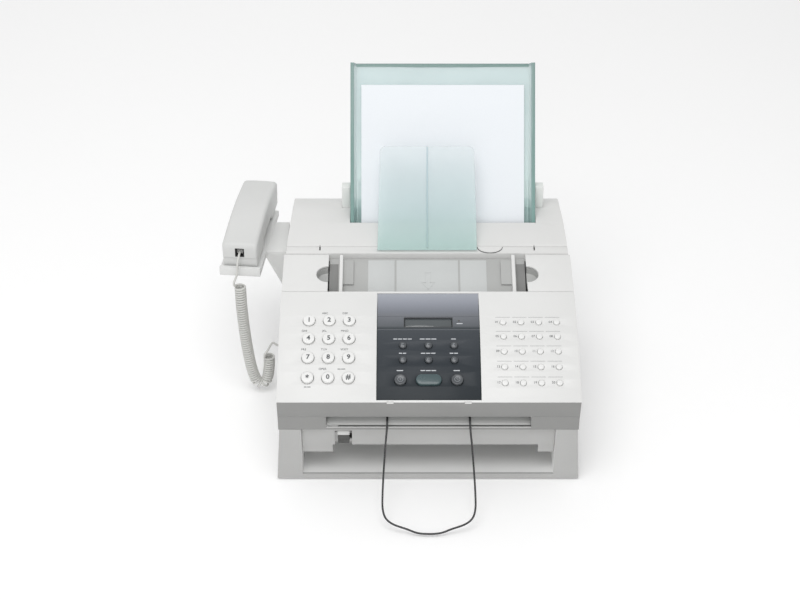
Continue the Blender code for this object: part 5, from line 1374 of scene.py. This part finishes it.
# key numbers and letters on the panel; other captions are plain bars
def makePrint():
    k = keySizes
    thick = 0.00012
    groups = {"1": "", "2": "ABC", "3": "DEF", "4": "GHI", "5": "JKL", "6": "MNO", "7": "PRS", "8": "TUV",
              "9": "WXY", "0": "OPER", "*": "", "#": ""}
    meshes = []
    for _node, sign, x, along in numberPlaces():
        if groups[sign]:
            shift = 0.0068 if sign == "0" else 0.0056      # captions stand up and left of their keys
            meshes.append(letters(groups[sign], 0.0040, thick,
                                  flushMatrix(along + 0.0122, x - shift, -0.00002)))
    rows = list(reversed(touchRows()))
    for r, along in enumerate(rows):
        for c, x in enumerate(touchColumns()):
            meshes.append(letters(f"{r * 4 + c + 1:02d}", 0.0044, thick,
                                  flushMatrix(along + 0.0006, x - 0.0078, -0.00002)))
    place(gathered("panelPrint", meshes), "panel", "printDark")

    bm = bmesh.new()      # hairlines over each one-touch row, caption bars by star and hash
    left, right = touchColumns()[0] - 0.0105, touchColumns()[-1] + 0.0052
    for along in rows:
        for x0, x1 in ((left + i * (right - left) / 4 + 0.0012,
                        left + (i + 1) * (right - left) / 4 - 0.0012)
                       for i in range(4)):
            addBox(bm, (x0, -0.00014, 0.0), (x1, 0.00014, 0.00008), flushMatrix(along + 0.0080))
    numbers = numberPlaces()
    for _node, sign, x, along in numbers:
        if sign == "*":
            for k0, k1 in ((-0.0040, -0.0006), (0.0002, 0.0042)):
                addBox(bm, (x + k0, -0.00045, 0.0), (x + k1, 0.00045, 0.00010), flushMatrix(along - 0.0118))
    hashPlace = [(x, along) for _node, sign, x, along in numbers if sign == "#"][0]
    for k0, k1 in ((-0.0135, -0.0096), (-0.0090, -0.0040)):
        addBox(bm, (hashPlace[0] + k0, -0.0005, 0.0), (hashPlace[0] + k1, 0.0005, 0.00010),
               flushMatrix(hashPlace[1] + 0.0122))
    place(fromBmesh("panelHairlines", bm), "panel", "printDark")

    bm = bmesh.new()      # caption bars over the function keys, broken like words
    sink = panelSizes["sink"]
    widths = {0: (0.0240, 0.0215, 0.0068), 1: (0.0100, 0.0190, 0.0110)}
    for r, along in enumerate(k["smallRows"]):
        for c in range(3):
            x = (c - 1) * k["smallPitch"]
            addWordBars(bm, x, widths[r][c], flushMatrix(along + 0.0098, 0.0, sink))
    for x, total in ((-k["largeOffset"], 0.0088), (0.0, 0.0200), (k["largeOffset"], 0.0088),
                     (0.0398, 0.0085)):
        along = k["largeRow"] + 0.0128 if x != 0.0398 else 0.1100
        addWordBars(bm, x, total, flushMatrix(along, 0.0, sink))
    place(fromBmesh("fasciaCaptions", bm), "panel", "printLight")

    # plain marks on the round and small function keys
    top = k["smallProud"]
    for x, sign in ((-k["largeOffset"], 0), (k["largeOffset"], 1)):
        frame4 = keyMatrix(k["largeRow"], x)
        rings = []
        for radius, z in ((0.0036, top - 0.0007), (0.0036, top - 0.0002), (0.0030, top - 0.0002),
                          (0.0030, top - 0.0007)):
            rings.append(circleRing(frame4, radius, z, 32))
        mark = bmesh.new()
        addLoft(mark, rings, closeRing=True)
        addBox(mark, (-0.00030, -0.0016, top - 0.0008), (0.00030, 0.0016, top - 0.0002), frame4
               @ Matrix.Rotation(0.8 * sign, 4, "Z"))
        node = "round_key_left" if sign == 0 else "round_key_right"
        place(fromBmesh("keyMark" + ("Left" if sign == 0 else "Right"), mark), node, "keyMark")
    for node, x, along in smallPlaces():
        mark = bmesh.new()
        frame4 = keyMatrix(along, x)
        for low, high in (((-0.0016, -0.0014), (-0.0008, 0.0016)), ((-0.0008, 0.0010), (0.0012, 0.0016)),
                          ((-0.0008, -0.0014), (0.0012, -0.0008))):
            addBox(mark, (*low, top + 0.00002), (*high, top + 0.00022), frame4)
        place(fromBmesh("functionMark" + node[-1], mark), node, "keyMark")


makePrint()
print("panel done")


# wire document stacker
wireSizes = {"wire": 0.0025, "half": 0.0517, "reach": 0.118, "drop": 0.0930, "sides": 16}


def makeWire():
    w = wireSizes
    pivot = Vector((0.0, 0.0120, 0.0970))
    length = math.hypot(w["reach"], w["drop"])
    ahead = Vector((0.0, -w["reach"] / length, -w["drop"] / length))
    s = w["half"]
    half = [(s + 0.010, 0.0), (s + 0.0015, 0.0), (s - 0.0003, 0.002), (s, 0.020), (s + 0.0018, 0.042),
            (s + 0.0040, 0.078), (s + 0.0051, 0.105), (s + 0.0046, 0.121), (s + 0.0008, 0.1315),
            (s - 0.008, 0.1385), (s - 0.024, length - 0.0060), (s * 0.22, length - 0.0006)]
    outline = half + [(-x, u) for x, u in reversed(half)]
    knots = [pivot + ahead * u + Vector((x, 0.0, 0.0)) for x, u in outline]
    wire = single("wireStacker", addTube, smoothPath(knots, 0.0024), w["wire"] / 2, w["sides"])
    place(wire, "wire_tray", "wireBlack", ("wire_tray",))


makeWire()


# trays and paper
traySizes = {"foot": (0.0, 0.2615, 0.2280), "lean": 56.0, "centreX": 0.0212, "width": 0.2443,
             "height": 0.2067, "sunk": 0.018, "rimDepth": 0.010, "wall": 0.0025, "lipBack": 0.0040,
             "flange": 0.0046, "sheets": 22, "paperWidth": 0.2159, "paperLength": 0.2794,
             "paperThick": 0.005,
             "paperTop": 0.1777, "restFoot": (0.0, 0.2145, 0.2085), "restWidth": 0.130, "restLength": 0.136,
             "restThick": 0.003, "restCorner": 0.008}
# X right, Y up the tray, Z out of it
trayTurn = Matrix.Rotation(math.radians(traySizes["lean"]), 4, "X")


def trayMatrix(foot="foot"):
    return Matrix.Translation(traySizes[foot]) @ trayTurn


def makePaperTray():
    t = traySizes
    finish["trayClear"] = clearPlastic("trayClear", {
        "span": (0.215, 0.385), "low": (0.60, 0.80, 0.775), "middle": (0.62, 0.78, 0.775),
        "high": (0.60, 0.75, 0.755), "rough": (0.10, 0.24), "clear": 0.50})
    finish["trayEdge"] = clearPlastic("trayEdge", {
        "span": (0.215, 0.385), "low": (0.24, 0.40, 0.37), "middle": (0.24, 0.37, 0.345),
        "high": (0.22, 0.33, 0.31), "rough": (0.10, 0.22), "clear": 0.88})
    inTray = trayMatrix()
    half, wall = t["width"] / 2, t["wall"]
    back = -t["rimDepth"] - wall
    cx = t["centreX"]
    # section across the tray: flange, drafted wall, plate; drawn once and swept up the tray
    draft = 0.0026
    section = [(-half, 0.0), (-half, -0.0018), (-half + t["flange"] - wall, -0.0018),
               (-half + t["flange"] - wall + draft, back), (half - t["flange"] + wall - draft, back),
               (half - t["flange"] + wall, -0.0018), (half, -0.0018), (half, 0.0),
               (half - t["flange"], 0.0), (half - t["flange"] - draft, -t["rimDepth"] + 0.0006),
               (half - t["flange"] - draft - 0.0008, -t["rimDepth"]),
               (-half + t["flange"] + draft + 0.0008, -t["rimDepth"]),
               (-half + t["flange"] + draft, -t["rimDepth"] + 0.0006), (-half + t["flange"], 0.0)]
    bm = bmesh.new()
    ups = [-t["sunk"] + (t["height"] + t["sunk"]) * i / 10 for i in range(11)]
    addLoft(bm, [[inTray @ Vector((cx + x, up, out)) for x, out in section] for up in ups])
    tray = fromBmesh("paperTray", bm)
    tools = []
    # lip turned back along the top, and the thumb pad in its middle
    tools.append(single("trayLip", addBox, (cx - half + 0.001, t["height"] - wall, back - t["lipBack"]),
                        (cx + half - 0.001, t["height"] - 0.0002, back + 0.0005), inTray))
    tools.append(single("topBar", addBox, (cx - half + 0.0035, t["height"] - 0.0046, back + 0.0008),
                        (cx + half - 0.0035, t["height"] - 0.0006, -t["rimDepth"] + 0.0003), inTray))
    tools.append(soften(single("thumbPad", addBox, (cx - 0.0390, t["height"] - 0.0165, back - 0.0016),
                               (cx + 0.0390, t["height"] - 0.0040, back + 0.0004), inTray), 0.0010, 2))
    bm = bmesh.new()      # two slim ribs stand up from the plate beside the paper, near the bottom
    for side in (-1, 1):
        x = cx + side * 0.1125
        addBox(bm, (x - 0.0007, -0.010, -t["rimDepth"] - 0.0005),
               (x + 0.0007, 0.052, -t["rimDepth"] + 0.0050), inTray)
    tools.append(fromBmesh("plateRibs", bm))
    cutWith(tray, *tools, join=True)
    soften(tray, 0.0005, 2, 40.0)
    toTray = inTray.inverted()

    def onRim(centre, _face):
        local = toTray @ centre
        return abs(local.x - cx) > half - t["flange"] - 0.0012 or local.y > t["height"] - 0.0048

    twoFinishes(tray, ("trayClear", "trayEdge"), onRim)
    place(tray, "paper_tray", "trayClear", ("paper_tray",))

    # the stack: sheet edges show on all four sides, each sheet a hair out of line
    bm = bmesh.new()
    low, top = t["paperTop"] - t["paperLength"], t["paperTop"]
    floor = -t["rimDepth"] + 0.0004
    wide = t["paperWidth"] / 2
    rings = []
    for i in range(t["sheets"]):
        slip, rise = random.uniform(-0.00022, 0.00022), random.uniform(-0.00035, 0.0)
        z0 = floor + t["paperThick"] * i / t["sheets"]
        z1 = floor + t["paperThick"] * (i + 0.78) / t["sheets"]
        for z, inset in ((z0, 0.0), (z1, 0.0), (z1 + 0.00002, 0.0005)):
            if i == t["sheets"] - 1 and inset:
                z, inset = floor + t["paperThick"], 0.0
            x0, x1 = cx - wide + 0.0003 + slip + inset, cx + wide - 0.0003 + slip - inset
            y0, y1 = low + 0.0002 + inset, top + rise - inset
            rings.append([inTray @ Vector(p) for p in ((x0, y0, z), (x1, y0, z), (x1, y1, z), (x0, y1, z))])
    addLoft(bm, rings)
    place(fromBmesh("paperStack", bm), "paper_stack", "officePaper", ("paper_stack",), 20.0)


makePaperTray()


def makeDocumentRest():
    t = traySizes
    finish["restClear"] = clearPlastic("restClear", {
        "span": (0.209, 0.322), "low": (0.58, 0.79, 0.755), "middle": (0.68, 0.81, 0.82),
        "high": (0.80, 0.86, 0.88), "rough": (0.08, 0.2), "clear": 0.46})
    inRest = trayMatrix("restFoot")
    half, length, corner = t["restWidth"] / 2, t["restLength"], t["restCorner"]
    topHalf = half - 0.0035

    def outline(inset):
        points = [(-half + inset, inset), (half - inset, inset)]
        for side in (1, -1):
            arc = []
            for i in range(9):
                a = math.pi / 2 * i / 8
                arc.append((side * (topHalf - corner + (corner - inset) * math.cos(a)),
                            length - corner + (corner - inset) * math.sin(a)))
            points += arc if side == 1 else list(reversed(arc))
        return points

    rings = []
    for inset, out in ((0.0006, 0.0), (0.0, 0.0006), (0.0, t["restThick"] - 0.0006),
                       (0.0006, t["restThick"])):
        rings.append([inRest @ Vector((x, y, out)) for x, y in outline(inset)])
    rest = single("documentRest", addLoft, rings)
    cutWith(rest, single("restRib", addBox, (-0.0009, 0.004, 0.0015),
                         (0.0009, length - 0.0015, t["restThick"] + 0.0009), inRest), join=True)
    finish["restEdge"] = clearPlastic("restEdge", {
        "span": (0.209, 0.322), "low": (0.40, 0.56, 0.55), "middle": (0.46, 0.60, 0.63),
        "high": (0.52, 0.64, 0.68), "rough": (0.08, 0.2), "clear": 0.85})
    # the middle rib reads darker than the sheet
    twoFinishes(rest, ("restClear", "restEdge"), lambda _centre, face:
                max(abs(rest.data.vertices[i].co.x - home.x) for i in face.vertices) < 0.0012)
    place(rest, "document_tray", "restClear", ("document_tray",))


makeDocumentRest()
print("trays done")


# handset
# section of the handset's back: flat below, two rounded shoulders and a slight crown
def handsetRing(y, halfX, low, high, corner, count=10):
    ring = [handsetPlace @ Vector((-halfX, y, low)), handsetPlace @ Vector((halfX, y, low))]
    for side in (1, -1):
        arc = []
        for i in range(count + 1):
            a = math.pi / 2 * i / count
            arc.append(handsetPlace @ Vector((side * (halfX - corner + corner * math.cos(a)), y,
                                              high - corner + corner * math.sin(a))))
        if side == 1:
            ring += arc
            for t in (0.5, 0.0, -0.5):
                ring.append(handsetPlace @ Vector(((halfX - corner) * t, y, high + 0.0007 * (1 - t * t))))
        else:
            ring += list(reversed(arc))
    return ring


def makeHandset():
    h = handsetSizes
    length, half, split = h["length"], h["width"] / 2, h["split"]
    rings = []
    stations = 44
    for i in range(stations + 1):
        t = i / stations
        y = length * (0.5 - 0.5 * math.cos(math.pi * t))      # closer together at the ends
        fromEnd = min(y, length - y)
        ends = math.sqrt(max(0.0, 1 - (1 - min(1.0, fromEnd / 0.0060)) ** 2))
        high = 0.0358 + 0.0065 * math.sin(math.pi * y / length) - 0.0062 * (1 - ends)
        halfX = half - 0.0030 * (1 - ends)
        rings.append(handsetRing(y, halfX, split + 0.0001, high, 0.0048))
    back = single("handsetBack", addLoft, rings)
    cutWith(back, single("cutJack", addBox, (-0.0060, -0.01, 0.0171), (0.0060, 0.0150, 0.0299),
                         handsetPlace))
    back.data.materials.clear()
    place(back, "handset", "handsetGrey", ("handset_body",), 42.0)
    bm = bmesh.new()      # black lining of the jack
    outer = [(-0.0059, 0.0172), (0.0059, 0.0172), (0.0059, 0.0298), (-0.0059, 0.0298)]
    inner = [(-0.0043, 0.0188), (0.0043, 0.0188), (0.0043, 0.0286), (-0.0043, 0.0286)]
    rings = [[handsetPlace @ Vector((x, y, z)) for x, z in side] for y, side in
             ((0.0148, outer), (0.0002, outer), (0.0002, inner), (0.0148, inner))]
    addLoft(bm, rings, closeRing=True)
    place(fromBmesh("jackLining", bm), "handset", "jackBlack")

    face = nodeCopy("handset_face", "handsetFace")
    slots = []
    for y in (0.0170, length - 0.0290):
        slots.append(barRowObject("cutSoundSlots", {"Count": 7, "Pitch": 0.0034, "Bar Width": 0.0014,
                                                    "Bar Length": 0.0120, "Bar Height": 0.004}, "jackBlack",
                                  handsetPlace @ Matrix.Translation((-0.0102, y + 0.006, 0.0010))))
    cutWith(face, *slots)
    soften(face, 0.0026, 4, 50.0)
    place(face, "handset", "handsetGrey", ("handset_face",))

    cradle = nodeCopy("cradle", "handsetCradle")
    soften(cradle, 0.0014, 3, 40.0)
    place(cradle, "chassis", "cradleGrey", ("cradle",))
    bm = bmesh.new()      # dark patches where the handset rests at the cradle's front corners: painted contact shadow
    for side in (-1, 1):
        x = side * 0.0150
        addBox(bm, (x - 0.0050, -0.0011, -0.00025), (x + 0.0050, 0.0150, 0.0007), handsetPlace)
    place(soften(fromBmesh("restContactShadows", bm), 0.0003, 1), "chassis", "rubberBlack")
    plunger = nodeCopy("hook_plunger", "hookPlunger")
    soften(plunger, 0.0010, 3)
    place(plunger, "hook_plunger", "darkPlastic", ("hook_plunger",))


makeHandset()
print("handset done")


# working parts inside
insideSizes = {"edge": 0.0006, "chips": 14}


def makeInside():
    edge = insideSizes["edge"]
    for node, name, material in (("toner_cartridge", "tonerCartridge", "darkPlastic"),
                                 ("fuser_unit", "fuserUnit", "zincSteel"),
                                 ("image_sensor", "imageSensor", "darkPlastic"),
                                 ("power_inlet", "powerInlet", "darkPlastic"),
                                 ("drive_motor", "driveMotor", "zincSteel")):
        refined(node, name, material, edge * 1.6, 3)
    for node, name in (("main_board", "mainBoard"), ("control_board", "controlBoard")):
        refined(node, name, "boardGreen", 0.0002, 1)
    for node, name, count in (("feed_roller", "feedRoller", 26), ("pickup_roller", "pickupRoller", 34)):
        low, high = nodeBox(node)
        middle = (low + high) / 2
        radius = (high.z - low.z) / 2
        length = high.x - low.x
        along = Matrix.Translation((low.x, middle.y, middle.z)) @ Matrix.Rotation(math.pi / 2, 4, "Y")
        bm = bmesh.new()
        profile = [(radius * 0.40, 0.0), (radius - 0.0012, 0.0), (radius - 0.0004, 0.0006)]
        for i in range(count):      # fine grooves round the rubber
            z = 0.0012 + (length - 0.0024) * i / count
            step = (length - 0.0024) / count
            profile += [(radius, z), (radius, z + step * 0.62), (radius - 0.0004, z + step * 0.70),
                        (radius - 0.0004, z + step * 0.92)]
        profile += [(radius, length - 0.0012), (radius - 0.0006, length), (radius * 0.40, length)]
        addLathe(bm, profile, 40, along)
        place(fromBmesh(name, bm), node, "rubberBlack", (node,))
    low, high = nodeBox("main_board")
    bm = bmesh.new()
    for i in range(insideSizes["chips"]):
        y = random.uniform(low.y + 0.012, high.y - 0.030)
        z = random.uniform(low.z + 0.010, high.z - 0.022)
        addBox(bm, (high.x + 0.0001, y, z), (high.x + random.uniform(0.0015, 0.0060),
                                             y + random.uniform(0.006, 0.022),
                                            z + random.uniform(0.005, 0.014)))
    place(fromBmesh("boardParts", bm), "chassis", "chipBlack")
    low, high = nodeBox("toner_cartridge")
    bm = bmesh.new()      # cartridge drum shows at its rear face
    drum = Matrix.Translation((low.x + 0.006, 0.1755, 0.1060)) @ Matrix.Rotation(math.pi / 2, 4, "Y")
    addLathe(bm, ((0.004, 0.0), (0.0086, 0.0), (0.0090, 0.0006), (0.0090, high.x - low.x - 0.0126),
                  (0.0086, high.x - low.x - 0.0120), (0.004, high.x - low.x - 0.0120)), 48, drum)
    place(fromBmesh("tonerDrum", bm), "chassis", "copperDrum")
    handle = barRowObject("cartridgeGrip", {"Count": 11, "Pitch": 0.0040, "Bar Width": 0.0018,
                                            "Bar Length": 0.018, "Bar Height": 0.0016}, "darkPlastic",
                          Matrix.Translation((traySizes["centreX"] - 0.020, 0.1340, 0.1333))
                          @ Matrix.Rotation(math.atan2(0.020, 0.032), 4, "X"))
    soften(handle, 0.0003, 1)
    place(handle, "chassis", "darkPlastic")
    bm = bmesh.new()      # three pins of the power socket
    low, high = nodeBox("power_inlet")
    for x in (-0.007, 0.0, 0.007):
        z = (low.z + high.z) / 2 + (0.003 if x == 0 else -0.002)
        addBox(bm, ((low.x + high.x) / 2 + x - 0.0011, high.y + 0.00005, z - 0.0022),
               ((low.x + high.x) / 2 + x + 0.0011, high.y + 0.0006, z + 0.0022))
    place(fromBmesh("inletPins", bm), "chassis", "brassPin")


makeInside()
print("inside done")


# studio
studioLook = {"floor": (0.93, 0.93, 0.93), "sky": 0.60, "key": 21.0, "rear": 4.0, "fill": 9.0}


def makeStudio():
    bm = bmesh.new()
    reach, rise, curve = 7.0, 4.0, 1.2
    profile = [(-reach, 0.0), (4.0, 0.0)]
    for i in range(1, 13):
        a = math.pi / 2 * i / 12
        profile.append((4.0 + curve * math.sin(a), curve - curve * math.cos(a)))
    profile.append((4.0 + curve, rise))
    left = [bm.verts.new((-reach, y, z)) for y, z in profile]
    right = [bm.verts.new((reach, y, z)) for y, z in profile]
    for i in range(len(profile) - 1):
        bm.faces.new((left[i], right[i], right[i + 1], left[i + 1]))
    floor = fromBmesh("studioFloor", bm, turn=False)
    floor.data.shade_smooth()
    made, tree, shader, coords = newFinish("studioPaper")
    cloud = noiseNode(tree, coords, 3.0)
    body = ramp(tree, cloud, [(0.3, shade(studioLook["floor"], 0.995)), (0.7, studioLook["floor"])])
    tree.links.new(body, shader.inputs["Base Color"])
    setInputs(shader, {"Roughness": 0.95, "Specular IOR Level": 0.0, "Emission Color": (1, 1, 1, 1),
                       "Emission Strength": 0.12})
    floor.data.materials.append(made)

    world = bpy.data.worlds.new("studioWorld")
    world.use_nodes = True
    background = world.node_tree.nodes["Background"]
    setInputs(background, {"Color": (1, 1, 1, 1), "Strength": studioLook["sky"]})
    bpy.context.scene.world = world

    lights = (("topLight", (-0.25, -0.62, 2.2), (0.0, 0.16, 0.1), 1.7, studioLook["key"]),
              ("rearLight", (-0.5, 2.2, 2.0), (0.0, 0.15, 0.1), 1.3, studioLook["rear"]),
              ("frontLight", (-0.5, -2.8, 1.1), (0.0, 0.1, 0.1), 1.8, studioLook["fill"]))
    for name, place3, aim, size, power in lights:
        data = bpy.data.lights.new(name, "AREA")
        data.shape = "DISK"
        data.size = size
        data.energy = power
        lamp = bpy.data.objects.new(name, data)
        bpy.context.scene.collection.objects.link(lamp)
        lamp.location = Vector(place3) + home
        way = Vector(aim) - Vector(place3)
        lamp.rotation_euler = way.to_track_quat("-Z", "Y").to_euler()
    bpy.context.scene.view_settings.view_transform = "Standard"
    bpy.context.scene.view_settings.look = "None"


makeStudio()
